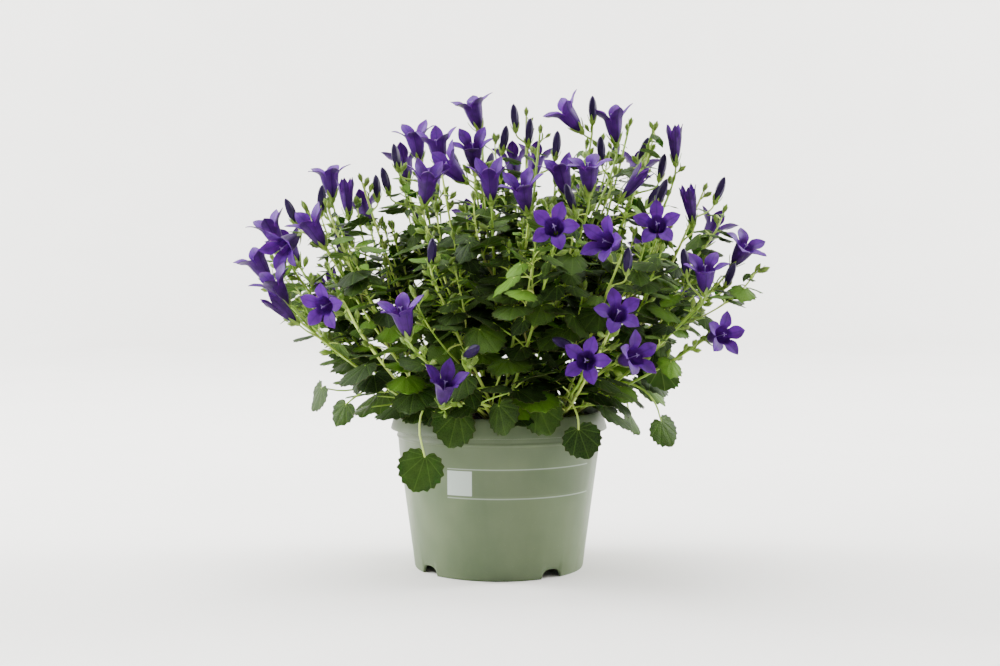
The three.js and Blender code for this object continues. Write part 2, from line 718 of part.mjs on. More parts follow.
// Whether two blades cross or lie closer than the clearance.
function bladesMeet(p, q) {
  const gap = new THREE.Vector3().subVectors(q.centre, p.centre);
  if (gap.length() > p.radius + q.radius) {
    return false;
  }
  const line = new THREE.Vector3().crossVectors(p.normal, q.normal);
  if (line.length() < 0.35 || Math.abs(gap.dot(p.normal)) < 2 * CLEARANCE) {
    return Math.abs(gap.dot(p.normal)) < 3.5 * CLEARANCE;
  }
  const size = line.lengthSq();
  const [hp, hq] = [p.centre.dot(p.normal), q.centre.dot(q.normal)];
  const origin = new THREE.Vector3().crossVectors(q.normal, line).multiplyScalar(hp / size);
  origin.add(new THREE.Vector3().crossVectors(line, p.normal).multiplyScalar(hq / size));
  line.normalize();
  const reach = (disc) => {
    const from = new THREE.Vector3().subVectors(disc.centre, origin);
    const middle = from.dot(line);
    const off = from.lengthSq() - middle * middle;
    const half = Math.sqrt(Math.max(disc.radius * disc.radius - off, 0));
    return half > 0 ? [middle - half, middle + half] : null;
  };
  const [a, b] = [reach(p), reach(q)];
  return a !== null && b !== null && a[0] < b[1] && b[0] < a[1];
}

function discOf(leaf) {
  const centre = leaf.base.clone().addScaledVector(leaf.axis, leaf.size * 0.42);
  centre.addScaledVector(leaf.normal, -leaf.size * 0.08);
  return { centre, normal: leaf.normal, radius: leaf.size * 0.6 };
}

// Whether a leaf keeps clear of the pot, the soil, the stems, the flowers and other leaves.
function leafFits(leaf, shoot) {
  const disc = discOf(leaf);
  const across = new THREE.Vector3().crossVectors(leaf.normal, leaf.axis);
  const marks = [[0, 0], [0.5, 0.1], [-0.5, 0.1], [0.4, 0.6], [-0.4, 0.6], [0, 1]].map(([x, y]) => {
    return leaf.base.clone().addScaledVector(across, leaf.size * x).addScaledVector(leaf.axis, leaf.size * y);
  });
  const overPot = marks.every((p) => {
    return p.z - 0.3 * leaf.size * 0.5 > POT_HEIGHT + 1 || Math.hypot(p.x, p.y) > SKIRT_RADIUS + 2;
  });
  if (!overPot || Math.abs(leaf.way.dot(leaf.stemWay)) > 0.88) {
    return false;
  }
  if (crowded(shoot, leaf.t, leaf.way)) {
    return false;
  }
  const start = leaf.root.clone().addScaledVector(leaf.way, 3);
  return BARS.every((bar) => {
    return (bar.stemOf === shoot || gapToBar(start, leaf.base, bar) > CLEARANCE)
      && !meetsBlade(bar.a, bar.b, disc, bar.radius + CLEARANCE);
  }) && BLADES.every((other) => {
    return !bladesMeet(disc, other) && !meetsBlade(start, leaf.base, other, 1.5 * CLEARANCE);
  });
}

function outwardOf(point, clump) {
  const flat = new THREE.Vector3(point.x, point.y, 0);
  return (flat.length() < 20 ? clump.centre.clone().setZ(0) : flat).normalize();
}

// A leaf on a stalk that leaves a shoot sideways from the outward direction.
function leafFrom(shoot, t, turn, stalkLength, size, rise, draw) {
  const root = along(shoot.line, t);
  const outward = outwardOf(root, shoot.clump);
  const side = outward.clone().applyAxisAngle(UP, radians(turn));
  const raised = (angle) => {
    return side.clone().multiplyScalar(Math.cos(radians(angle))).setZ(Math.sin(radians(angle)));
  };
  const way = raised(rise);
  const fall = rise - 10 - 50 * draw();
  const axis = raised(fall);
  const facing = raised(fall + 90).addScaledVector(outward, 0.6 * draw());
  const normal = facing.addScaledVector(axis, -facing.dot(axis)).normalize();
  const base = root.clone().addScaledVector(way, stalkLength);
  const droop = 0.05 + 0.12 * draw();
  return { t, root, base, way, axis, normal, size, droop, stemWay: wayAlong(shoot.line, t) };
}

// Leaves from the foot of each shoot upward: long stalks below, small blades above.
function growLeaves(seed, turns, fromT, toT, stalks, sizes) {
  const draw = seeded(seed);
  turns.forEach((spread, round) => {
    SHOOTS.filter((shoot) => shoot.endLeaf === 0).forEach((shoot) => {
      for (let attempt = 0; attempt < 9; attempt += 1) {
        const t = fromT + (toT - fromT) * ((round + draw()) / turns.length);
        const turn = (draw() < 0.5 ? 1 : -1) * (15 + spread * draw());
        const stalkLength = (stalks[0] + (stalks[1] - stalks[0]) * t) * (0.6 + 0.8 * draw());
        const size = (sizes[0] + (sizes[1] - sizes[0]) * t) * (0.85 + 0.3 * draw());
        const leaf = leafFrom(shoot, t, turn, stalkLength, size, 50 * draw(), draw);
        if (leafFits(leaf, shoot)) {
          shoot.branches.push({ t, end: leaf.base, leaf });
          addBar(leaf.root, leaf.base, STALK_RADIUS);
          BLADES.push(discOf(leaf));
          return;
        }
      }
    });
  });
}

function endLeafOf(shoot) {
  const outward = outwardOf(shoot.tip, shoot.clump);
  const axis = outward.clone().multiplyScalar(0.5).setZ(-1).normalize();
  const facing = outward.clone().setZ(0.35);
  const normal = facing.addScaledVector(axis, -facing.dot(axis)).normalize();
  return { base: shoot.tip, axis, normal, size: shoot.endLeaf, droop: 0.05 };
}

SHOOTS.filter((shoot) => shoot.endLeaf > 0).forEach((shoot) => {
  BLADES.push(discOf(endLeafOf(shoot)));
});
growLeaves(SEED, [70, 90, 110], 0.04, 0.85, [34, 2], [23, 11]);

// A toothed heart-shaped blade on a ring of three points: a roof of two halves whose ridge
// is the rib, closed underneath from edge to edge.
function growBlade(skin, ring, leaf) {
  const outline = leaf.size > LARGE_FROM ? LARGE_OUTLINE : SMALL_OUTLINE;
  const rib = leaf.size > LARGE_FROM ? LARGE_RIB : SMALL_RIB;
  const across = new THREE.Vector3().crossVectors(leaf.normal, leaf.axis);
  const at = ([x, y]) => leaf.base.clone()
    .addScaledVector(across, leaf.size * x)
    .addScaledVector(leaf.axis, leaf.size * y)
    .addScaledVector(leaf.normal, -leaf.size * (BLADE_FOLD * Math.abs(x) + leaf.droop * y * y));
  const [tip] = skin.add([at([0, 1])]);
  const right = [...skin.add(outline.map(at)), tip];
  const left = [...skin.add(outline.map(([x, y]) => at([-x, y]))), tip];
  const ridge = skin.add(rib.map((y) => at([0, y])));
  const push = (...face) => skin.faces.push(face);
  const lift = (n) => skin.points[n].dot(leaf.normal);
  const from = [0, 1, 2].reduce((best, k) => (lift(ring[k]) > lift(ring[best]) ? k : best), 0);
  const [high, l, r] = [0, 1, 2].map((k) => ring[(from + k) % 3]);
  push(high, l, left[0]);
  push(high, left[0], ridge[0]);
  push(r, high, right[0]);
  push(high, ridge[0], right[0]);
  push(l, r, right[1]);
  push(r, right[0], right[1]);
  push(l, right[1], left[1]);
  push(l, left[1], left[0]);
  let n = 0;
  for (let i = 0; i + 1 < right.length; i += 1) {
    if (n + 1 < rib.length && i >= outline.length / 2) {
      push(right[i], ridge[n], ridge[n + 1]);
      push(ridge[n], left[i], ridge[n + 1]);
      n += 1;
    }
    push(right[i + 1], right[i], ridge[n]);
    push(left[i], left[i + 1], ridge[n]);
  }
  for (let i = 1; i + 1 < outline.length; i += 1) {
    push(left[i], right[i], right[i + 1]);
    push(left[i], right[i + 1], left[i + 1]);
  }
  push(left[outline.length - 1], right[outline.length - 1], tip);
}

// The calyx: a green cup with five pointed sepals.
function growCalyx(skin, ring, flower) {
  const way = new THREE.Vector3().subVectors(skin.points[ring[0]], skin.middle(ring));
  const u = way.addScaledVector(flower.axis, -way.dot(flower.axis)).normalize();
  const v = new THREE.Vector3().crossVectors(flower.axis, u);
  const star = [];
  for (let k = 0; k < 10; k += 1) {
    const a = (Math.PI * k) / 5;
    const [radius, rise] = k % 2 === 0 ? [SEPAL_RADIUS, SEPAL_RISE] : [CUP_RADIUS, 0];
    star.push(
      flower.base.clone()
        .addScaledVector(u, radius * Math.cos(a))
        .addScaledVector(v, radius * Math.sin(a))
        .addScaledVector(flower.axis, rise),
    );
  }
  const edge = skin.add(star);
  skin.zip(ring, edge);
  skin.bridge(edge, skin.add([flower.base.clone().addScaledVector(flower.axis, 0.3)]));
}

function growBud(skin, ring, foot, axis, profile) {
  let low = ring;
  profile.forEach(([height, radius]) => {
    const centre = foot.clone().addScaledVector(axis, height);
    const high = radius > 0 ? skin.ringAfter(low, centre, axis, radius) : skin.add([centre]);
    skin.bridge(low, high);
    low = high;
  });
}

function growFlower(skin, ring, flower) {
  if (flower.wide) {
    growCalyx(skin, ring, flower);
  } else {
    growBud(skin, ring, flower.foot, flower.axis, flower.open > 0.05 ? HALF_OPEN_PROFILE : CLOSED_PROFILE);
  }
}

// A shoot: its stem with a short joint wherever a branch leaves it.
function growShoot(skin, shoot) {
  const half = JOINT_HALF / shoot.length;
  const joints = [];
  [...shoot.branches].sort((p, q) => p.t - q.t).forEach((branch) => {
    const last = joints[joints.length - 1];
    if (last && branch.t - last.t < 2.5 * half && last.branches.length < 3) {
      last.branches.push(branch);
    } else {
      joints.push({ t: last ? Math.max(branch.t, last.t + 2.5 * half) : branch.t, branches: [branch] });
    }
  });
  const stops = [{ t: 3.5 / shoot.length }];
  joints.forEach((joint) => {
    if (joint.t - stops[stops.length - 1].t > 4 * half) {
      stops.push({ t: joint.t - half });
    }
    stops.push({ t: joint.t + half, joint });
  });
  stops.push({ t: 1 });
  const rings = [];
  stops.forEach((stop, i) => {
    const before = i > 0 ? stops[i - 1].t : 0;
    const extra = Math.floor((stop.t - before) / WIDEST_STEP);
    for (let k = 1; k <= extra && i > 0; k += 1) {
      rings.push({ t: before + ((stop.t - before) * k) / (extra + 1) });
    }
    rings.push(stop);
  });
  let ring = shoot.seat;
  rings.forEach((stop) => {
    const radius = STEM_RADIUS + (STEM_TIP_RADIUS - STEM_RADIUS) * stop.t;
    const way = wayAlong(shoot.line, stop.t);
    const centre = along(shoot.line, stop.t);
    let next;
    if (stop.t === 1 && shoot.endLeaf > 0) {
      const { axis, normal } = endLeafOf(shoot);
      next = skin.ringToward(normal, ring, centre, way.add(axis).normalize(), radius);
    } else {
      const facing = stop.t === 1 && shoot.last ? way.add(shoot.last.axis).normalize() : way;
      next = skin.ringAfter(ring, centre, facing, radius);
    }
    const sides = skin.bridge(ring, next);
    ring = next;
    (stop.joint ? stop.joint.branches : []).forEach((branch) => {
      const middle = skin.middle(next);
      const toward = new THREE.Vector3().subVectors(branch.end, middle).normalize();
      const opened = skin.open(sides, toward);
      if (branch.leaf) {
        const { axis, normal } = branch.leaf;
        const facing = toward.clone().add(axis).normalize();
        const end = skin.ringToward(normal, opened, branch.end, facing, STALK_RADIUS);
        skin.bridge(opened, end);
        growBlade(skin, end, branch.leaf);
      } else {
        const axis = toward.clone().add(branch.flower ? branch.flower.axis : branch.bud).normalize();
        const end = skin.ringAfter(opened, branch.end, axis, STALK_RADIUS);
        skin.bridge(opened, end);
        if (branch.flower) {
          growFlower(skin, end, branch.flower);
        } else {
          growBud(skin, end, branch.end, branch.bud, GREEN_PROFILE);
        }
      }
    });
  });
  if (shoot.endLeaf > 0) {
    growBlade(skin, ring, endLeafOf(shoot));
  } else if (shoot.last) {
    growFlower(skin, ring, shoot.last);
  } else {
    growBud(skin, ring, shoot.tip, wayAlong(shoot.line, 0.97), GREEN_PROFILE);
  }
}

// The corolla: a bell that widens to a throat and parts into five pointed lobes, each with
// its rib as a keel outside.
function corolla(flower) {
  const [u, v] = sideways(flower.axis);
  const at = (angle, radius, height) => flower.base.clone()
    .addScaledVector(u, radius * Math.cos(angle))
    .addScaledVector(v, radius * Math.sin(angle))
    .addScaledVector(flower.axis, height);
  const lean = radians(12 + 68 * flower.open);
  const curl = lean + radians(12);
  const throat = THROAT_RADIUS * (0.8 + 0.25 * flower.open);
  const points = [];
  const add = (p) => points.push(p) - 1;
  const foot = add(at(0, 0, 0.7));
  const well = add(at(0, 0, TUBE_LENGTH * 0.35));
  const waist = [];
  const crease = [];
  const lobes = [];
  for (let k = 0; k < 5; k += 1) {
    const a = flower.turn + (2 * Math.PI * k) / 5;
    waist.push(add(at(a, throat * 0.74, TUBE_LENGTH * 0.38)));
    crease.push(add(at(a + Math.PI / 5, throat, TUBE_LENGTH)));
    const reach = (length, tilt) => [throat + length * Math.sin(tilt), TUBE_LENGTH + length * Math.cos(tilt)];
    const [midRadius, midHeight] = reach(LOBE_LENGTH * 0.45, lean);
    const [tipRadius, tipHeight] = reach(LOBE_LENGTH, curl);
    const edgeRadius = midRadius - PETAL_THICKNESS * Math.cos(lean);
    const edgeHeight = midHeight + PETAL_THICKNESS * Math.sin(lean);
    const spread = Math.atan2(LOBE_HALF_WIDTH, edgeRadius);
    lobes.push({
      neck: add(at(a, throat * 1.06, TUBE_LENGTH - 0.5)),
      inside: add(at(a, throat * 1.06 - PETAL_THICKNESS, TUBE_LENGTH - 0.2)),
      rib: add(at(a, midRadius, midHeight)),
      left: add(at(a - spread, edgeRadius / Math.cos(spread), edgeHeight)),
      right: add(at(a + spread, edgeRadius / Math.cos(spread), edgeHeight)),
      tip: add(at(a, tipRadius, tipHeight)),
    });
  }
  const faces = [];
  for (let k = 0; k < 5; k += 1) {
    const next = (k + 1) % 5;
    const { neck, inside, rib, left, right, tip } = lobes[k];
    const [before, after] = [crease[(k + 4) % 5], crease[k]];
    faces.push([foot, waist[next], waist[k]], [waist[k], after, neck], [waist[k], waist[next], after]);
    faces.push([waist[next], lobes[next].neck, after], [before, neck, rib], [before, rib, left]);
    faces.push([left, rib, tip], [neck, after, rib], [rib, after, right], [rib, right, tip]);
    faces.push([before, left, inside], [left, right, inside], [left, tip, right], [right, after, inside]);
    faces.push([well, before, inside], [well, inside, after]);
  }
  return { points, faces };
}

// Pot

function potSolid() {
  const shell = new THREE.LatheGeometry([
    [0, FLOOR_HEIGHT],
    [FOOT_RADIUS - WALL - 0.6, FLOOR_HEIGHT],
    [FOOT_RADIUS - WALL - 0.4, 0],
    [FOOT_RADIUS - 0.8, 0],
    [FOOT_RADIUS, 1],
    [BODY_TOP_RADIUS - 0.45, RING_HEIGHT],
    [BODY_TOP_RADIUS + 0.15, RING_HEIGHT + 0.4],
    [BODY_TOP_RADIUS, RING_HEIGHT + 1.4],
    [RIM_RADIUS - 0.9, POT_HEIGHT - 3.5],
    [SKIRT_RADIUS - WALL, SKIRT_BOTTOM_HEIGHT],
    [SKIRT_RADIUS, SKIRT_BOTTOM_HEIGHT],
    [RIM_RADIUS, POT_HEIGHT - 0.6],
    [RIM_RADIUS - 0.6, POT_HEIGHT],
    [RIM_RADIUS - 1.4, POT_HEIGHT - 0.3],
    [BODY_TOP_RADIUS - WALL, RING_HEIGHT],
    [FOOT_RADIUS - WALL + 0.4, FLOOR_HEIGHT + 4],
    [FOOT_RADIUS - 4, FLOOR_HEIGHT + WALL],
    [0, FLOOR_HEIGHT + WALL],
  ].map(([r, z]) => new THREE.Vector2(r, z)), POT_SEGMENTS);
  shell.rotateX(Math.PI / 2);
  const notches = [];
  for (let k = 0; k < NOTCH_COUNT; k += 1) {
    const notch = new THREE.CylinderGeometry(NOTCH_WIDTH / 2, NOTCH_WIDTH / 2, 14, 12);
    notch.rotateZ(Math.PI / 2);
    notch.scale(1, 1, NOTCH_HEIGHT / (NOTCH_WIDTH / 2));
    notch.translate(FOOT_RADIUS, 0, 0);
    notch.rotateZ(radians(NOTCH_START + (360 * k) / NOTCH_COUNT));
    notches.push(solidOfGeometry(notch));
  }
  return solidOfGeometry(shell).subtract(wasm.Manifold.union(notches));
}

// Soil: fills the pot from its floor, with a crumbly top and a hole for each crown.
function soilSolid() {
  const draw = seeded(SEED);
  const wallAt = (z) => {
    const low = FLOOR_HEIGHT + 4;
    const slope = (BODY_TOP_RADIUS - FOOT_RADIUS - 0.4) / (RING_HEIGHT - low);
    return FOOT_RADIUS - WALL + 0.4 + slope * (z - low);
  };
  const ring = (radius, height) => {
    const flat = ringRound(new THREE.Vector3(0, 0, 0), X_AXIS, Y_AXIS, radius, SOIL_SIDES);
    return flat.map((p) => p.setZ(height()));
  };
  const floor = FLOOR_HEIGHT + WALL + SEAT_GAP;
  const rings = [
    [new THREE.Vector3(0, 0, floor)],
    ring(FOOT_RADIUS - 6.6, () => floor),
    ring(wallAt(FLOOR_HEIGHT + 4) - 0.6, () => FLOOR_HEIGHT + 4.4),
  ];
  SOIL_RINGS.forEach((radius) => {
    rings.push(ring(radius, () => SOIL_LEVEL + SOIL_CRUMB * (draw() - 0.5) + SOIL_CRUMB * (1 - radius / 54)));
  });
  rings.push([new THREE.Vector3(0, 0, SOIL_LEVEL + SOIL_CRUMB)]);
  const holes = CLUMPS.map((clump) => {
    const at = (z, radius) => ringRound(clump.centre.clone().setZ(z), X_AXIS, Y_AXIS, radius, CROWN_SIDES);
    const slope = (CROWN_RADIUS * 0.4) / CROWN_DEPTH;
    const low = CROWN_RADIUS * 0.6 + SEAT_GAP;
    return loft([
      at(CROWN_HEIGHT - CROWN_DEPTH - SEAT_GAP, low),
      at(CROWN_HEIGHT + 8, low + slope * (CROWN_DEPTH + 8)),
    ]);
  });
  return loft(rings).subtract(wasm.Manifold.union(holes));
}

function surfaceOf(solid) {
  const mesh = solid.getMesh();
  const points = [];
  for (let i = 0; i < mesh.numVert; i += 1) {
    points.push(new THREE.Vector3().fromArray(mesh.vertProperties, i * mesh.numProp));
  }
  const faces = [];
  for (let i = 0; i < mesh.numTri; i += 1) {
    faces.push([...mesh.triVerts.slice(3 * i, 3 * i + 3)]);
  }
  return { points, faces };
}

function meshOf(surface, name, color, roughness) {
  const positions = [];
  surface.faces.forEach((face) => {
    face.forEach((n) => positions.push(...surface.points[n].toArray()));
  });
  const geometry = new THREE.BufferGeometry();
  geometry.setAttribute('position', new THREE.Float32BufferAttribute(positions, 3));
  geometry.computeVertexNormals();
  const mesh = new THREE.Mesh(geometry, new THREE.MeshStandardMaterial({ color, roughness, metalness: 0 }));
  mesh.name = name;
  return mesh;
}

const plant = new THREE.Group();
plant.add(meshOf(surfaceOf(potSolid()), 'pot', 0x8b9a78, 0.5));
plant.add(meshOf(surfaceOf(soilSolid()), 'soil', 0x1d1611, 0.95));
SHOOTS.forEach((shoot) => growShoot(shoot.clump.skin, shoot));
CLUMPS.forEach((clump) => plant.add(meshOf(clump.skin, clump.name, 0x4f7a2b, 0.6)));
SHOOTS.flatMap((shoot) => [shoot.last, ...shoot.flowers])
  .filter((flower) => flower && flower.wide)
  .forEach((flower, n) => {
    plant.add(meshOf(corolla(flower), `bloom_${String(n + 1).padStart(2, '0')}`, 0x6a3fb5, 0.55));
  });

export default plant;
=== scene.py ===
"""A bellflower in bloom in a round nursery pot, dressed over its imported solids.

The shoots follow the same table and rule as the solids, so each stem, leaf and flower here
lies where its solid does. Lengths in the tables are millimetres, the scene is in metres.
"""

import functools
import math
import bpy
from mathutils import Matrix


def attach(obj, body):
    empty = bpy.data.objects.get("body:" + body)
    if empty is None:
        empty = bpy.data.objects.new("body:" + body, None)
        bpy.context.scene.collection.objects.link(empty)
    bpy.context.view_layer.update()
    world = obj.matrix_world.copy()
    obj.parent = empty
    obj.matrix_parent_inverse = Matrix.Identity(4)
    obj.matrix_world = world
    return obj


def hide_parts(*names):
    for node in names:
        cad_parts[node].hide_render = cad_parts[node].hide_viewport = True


bl_info = {
    "name": "Potted Bellflower",
    "version": (1, 0, 0),
    "blender": (4, 5, 0),
    "location": "View3D > Sidebar > Bellflower",
    "description": "Grows a bellflower in bloom with its nursery pot and soil",
    "category": "Add Mesh",
}

import bmesh
import bpy
import numpy as np
from mathutils import Vector, noise

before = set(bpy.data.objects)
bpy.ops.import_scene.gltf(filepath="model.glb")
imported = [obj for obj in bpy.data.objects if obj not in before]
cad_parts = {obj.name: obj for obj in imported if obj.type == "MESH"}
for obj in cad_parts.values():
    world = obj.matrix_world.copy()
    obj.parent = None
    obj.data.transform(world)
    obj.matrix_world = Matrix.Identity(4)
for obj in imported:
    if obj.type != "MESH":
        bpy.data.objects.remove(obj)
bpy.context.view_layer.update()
MM = 0.001

# Pot
POT_HEIGHT = 87
WALL = 1.1
FOOT_RADIUS = 46.8
BODY_TOP_RADIUS = 56.3
SKIRT_BOTTOM_HEIGHT = 76.8
SKIRT_RADIUS = 60
RIM_RADIUS = 57.1
RING_HEIGHT = 72.5
FLOOR_HEIGHT = 6
NOTCH_COUNT = 4
NOTCH_WIDTH = 13
NOTCH_HEIGHT = 5
NOTCH_START = -53

# Soil
SOIL_LEVEL = 82.5
SOIL_RADIUS = 54.6

# Space is shared between clumps of shoots: inner ones in a cone, outer ones round it.
CONE_SLOPE = 0.42
CONE_FOOT = 10
INNER_SLICES = 3
OUTER_SLICES = 7
INNER_CROWN_REACH = 17
OUTER_CROWN_REACH = 42
CROWN_HEIGHT = 84
CROWN_RADIUS = 7
CROWN_RISE = 4
CROWN_SIDES = 7
CROWN_DEPTH = 9
SEAT_RISE = 10
STEM_SPACE = 2.6
SPREAD_ROUNDS = 30
FIRST_SLICE = -90

# Stems, leaves and flowers
STEM_RADIUS = 0.95
STEM_STEPS = 6
STALK_RADIUS = 0.5
BLADE_THICKNESS = 0.35
CLEARANCE = 1
LEAF_SHARE = 0.6
TUBE_LENGTH = 12
THROAT_RADIUS = 5.2
LOBE_LENGTH = 11.5
LOBE_HALF_WIDTH = 3.5
PETAL_THICKNESS = 0.35
LOBE_KEEL = 0.8
CALYX_DEPTH = 3.5
CLOSED_BELOW = 0.3
FURLED_BELOW = 0.05
GREEN_BUD_LENGTH = 5.5
GOLDEN_ANGLE = 137.5
SIDE_BUDS = 2

# Thin shoots and small buds, which the solids leave out
SIDE_SHOOTS = 3
SIDE_SHOOT_TRIES = 16
SIDE_SHOOT_THICKNESS = 0.66
SIDE_SHOOT_RADIUS = 0.65
FORKS_ABOVE = 160
BUDS_UP_SHOOT = 15
BUD_SPACING = 7

# The same as CLEARANCE and LEAF_SHARE for all that grows between the large leaves
FINE_CLEARANCE = 0.3
FINE_LEAF_SHARE = 0.42

# Leaf sizes: tiny below the first, small below the second, finely toothed from the third,
# and drawn a tenth smaller above the last
TINY_LEAF, SMALL_LEAF, FINE_LEAF, BIG_LEAF = 9.5, 15, 18, 19
# From which size a leaf's stalk is drawn rounder, and from which length it is drawn finer
STOUT_LEAF = 12
LONG_STALK = 12

# Room for the round bars and flat blades that fill the air
MOST_BARS = 12000
MOST_BLADES = 3000

# A row of seeds for each kind of piece
SEED = 46
SOIL_SEED = SEED + 7
FINE_LEAF_SEED = SEED + 100
BUD_SEED = SEED + 300
SIDE_SHOOT_SEED = SEED + 400
CLUMP_SEED = SEED + 500
BLOOM_SEED = SEED + 700

# The print on the pot's front: its sides and heights
PRINT_SIDES = (-27, 47.5)
PRINT_LINES = ((44.3, 44.95), (59.9, 60.5))
PRINT_BLOCK = (46, 59.2)
PRINT_PANEL = (-28, -14.1)

# The large leaves, then each round of finer ones: how far its leaves turn from outward, where
# along the shoots they grow, their stalks and sizes at both ends of a shoot, the tries for each
# leaf, how far apart they stay, and the lowest tip and the least thickness of their shoots.
LARGE_LEAVES = ((70, 90, 110), (0.04, 0.85), (34, 2), (23, 11), 9, 4, 0, 0)
LEAF_ROUNDS = (
    ((70, 110, 165), (0.12, 0.82), (16, 3.5), (17, 10.5), 12, 2.6, 0, 0),
    ((80, 110, 140, 170), (0.5, 0.96), (14, 3), (15, 7.5), 12, 2.2, 155, 0),
    ((80, 110, 140, 170), (0.5, 0.96), (14, 3), (15, 7.5), 12, 2.2, 155, 0),
    ((60, 120), (0.06, 0.32), (16, 5), (14, 12), 12, 2, 0, 1),
)

# Shoots seen from the front: the tip, then its flowers. A flower is the place of its cup, the
# way it faces, how far it is open (0 closed, 1 a flat star) and its turn.
FRONT_SHOOTS = [
    ((-119, -12, 176), [(-119, -12, 176, -8, -4, 17, 0.55, 10)]),
    ((-123, -26, 158), [(-123, -26, 158, -9, -4, 15, 0.6, 40)]),
    ((-110, -52, 146), [
        (-110, -52, 146, -8, -6, 16, 0.55, 0),
        (-104, -64, 138, -15, -7, 15, 0.15, 0),
    ]),
    ((-92, -2, 204), [(-92, -2, 204, -2, -3, 18, 0.8, 20), (-82, -12, 194, -1, 0, 12, 0.12, 0)]),
    ((-102, -33, 196), [
        (-92, -43, 177, -7, -6, 13, 0.45, 0),
        (-106, -38, 182, -6, -10, -6, 0.5, 30),
        (-108, -33, 190, -5, -2, 12, 0, 0),
        (-94, -36, 196, 1, -2, 12, 0, 0),
    ]),
    ((-82, -73, 149), [(-82, -73, 149, -5, -12, -3, 0.95, 12)]),
    ((-44, -102, 132), [(-44, -102, 132, -3, -5, 13, 0.6, 30)]),
    ((-28, -88, 98), [(-28, -88, 98, 2, -9, 12, 0.35, 0)]),
    ((-75, -6, 212), [(-67, -2, 204, -1, 2, 12, 0, 0), (-84, -16, 172, -4, -5, 12, 0, 0)]),
    ((-44, -2, 225), [
        (-44, -2, 225, -2, -4, 13, 0.6, 0),
        (-56, 0, 221, -2, 0, 12, 0, 0),
        (-61, -4, 208, -3, -2, 12, 0, 0),
    ]),
    ((-31, -26, 219), [(-31, -26, 219, -2, -4, 13, 0.42, 36)]),
    ((-52, 24, 214), [(-52, 24, 214, -2, 3, 10, 0.45, 0)]),
    ((-13, -22, 219), [(-13, -22, 219, -1, -8, 11, 0.6, 0), (-18, -39, 211, -10, -6, 9, 0.5, 20)]),
    ((-11, -7, 241), [(-11, -7, 241, -4, -3, 14, 0.75, 30), (2, -9, 230, 2, -1, 12, 0, 0)]),
    ((-38, -62, 198), [(-38, -62, 198, 2, -5, 13, 0.38, 0)]),
    ((-4, -54, 200), [(-4, -54, 200, -1, -5, 14, 0.4, 0)]),
    ((9, 26, 215), [(9, 26, 215, -1, 4, 12, 0.45, 0)]),
    ((15, -4, 248), [(9, -6, 242, -1, 0, 12, 0, 0), (16, -8, 234, 1, -3, 12, 0, 0)]),
    ((22, -20, 237), [(30, -31, 225, 1, -3, 12, 0, 0)]),
    ((14, -68, 194), [(14, -68, 194, -3, -7, 14, 0.55, 10)]),
    ((28, -92, 182), [(28, -92, 182, -1.5, -14, 3, 0.98, 0)]),
    ((36, -34, 204), [(36, -34, 204, -4, -4, 14, 0.42, 0)]),
    ((46, -62, 204), [(46, -62, 204, -1, -6, 16, 0.8, 14), (38, -58, 196, -4, -3, 12, 0, 0)]),
    ((51, -9, 246), [(51, -9, 246, 0, 0, 13, 0, 0), (44, -12, 240, -8, -3, 9, 0.6, 0)]),
    ((64, -6, 234), [(64, -6, 234, -2, -3, 13, 0.5, 20), (56, -10, 224, -1, -3, 12, 0, 0)]),
    ((72, 2, 243), [(78, 0, 225, 4, 0, 11, 0, 0)]),
    ((84, -6, 239), [(88, -8, 215, 2, -3, 11, 0, 0)]),
    ((75, -34, 217), [(65, -42, 202, 9, -4, 12, 0.15, 0), (84, -38, 200, 4, -4, 12, 0, 0)]),
    ((96, -12, 223), [(96, -12, 223, -1, -2, 16, 0.12, 0)]),
    ((110, -20, 206), [(104, -23, 190, -3, -4, 15, 0.12, 0), (117, -20, 202, 4, -1, 11, 0, 0)]),
    ((80, -69, 182), [(80, -69, 182, -1.5, -13, 5, 0.98, 20)]),
    ((125, -30, 167), [(125, -30, 167, 6, -8, 11, 0.85, 0), (120, -39, 157, 3, -6, 10, 0, 0)]),
    ((106, -57, 153), [(106, -57, 153, -1, -7, 13, 0.7, 0), (96, -59, 163, -2, -4, 12, 0, 0)]),
    ((110, -44, 128), [(110, -44, 128, 7, -13, 3, 0.95, 8)]),
    ((56, -94, 138), [(56, -94, 138, 1.5, -13, 6, 0.98, 30), (36, -83, 126, -9, -7, 4, 0, 0)]),
    ((59, -86, 176), [(59, -86, 176, -7, -10, 2, 0.6, 0), (63, -90, 164, 0, -7, 11, 0, 0)]),
    ((44, -84, 119), [(44, -84, 119, -1.5, -14, 1, 0.95, 0)]),
    ((61, -74, 118), [(61, -74, 118, 8, -12, 4, 0.8, 20)]),
    ((-16, -94, 122), [(-16, -94, 122, 6, -9, 5, 0, 0)]),
    ((-34, -74, 168), [(-34, -74, 168, 1, -5, 12, 0, 0)]),
]

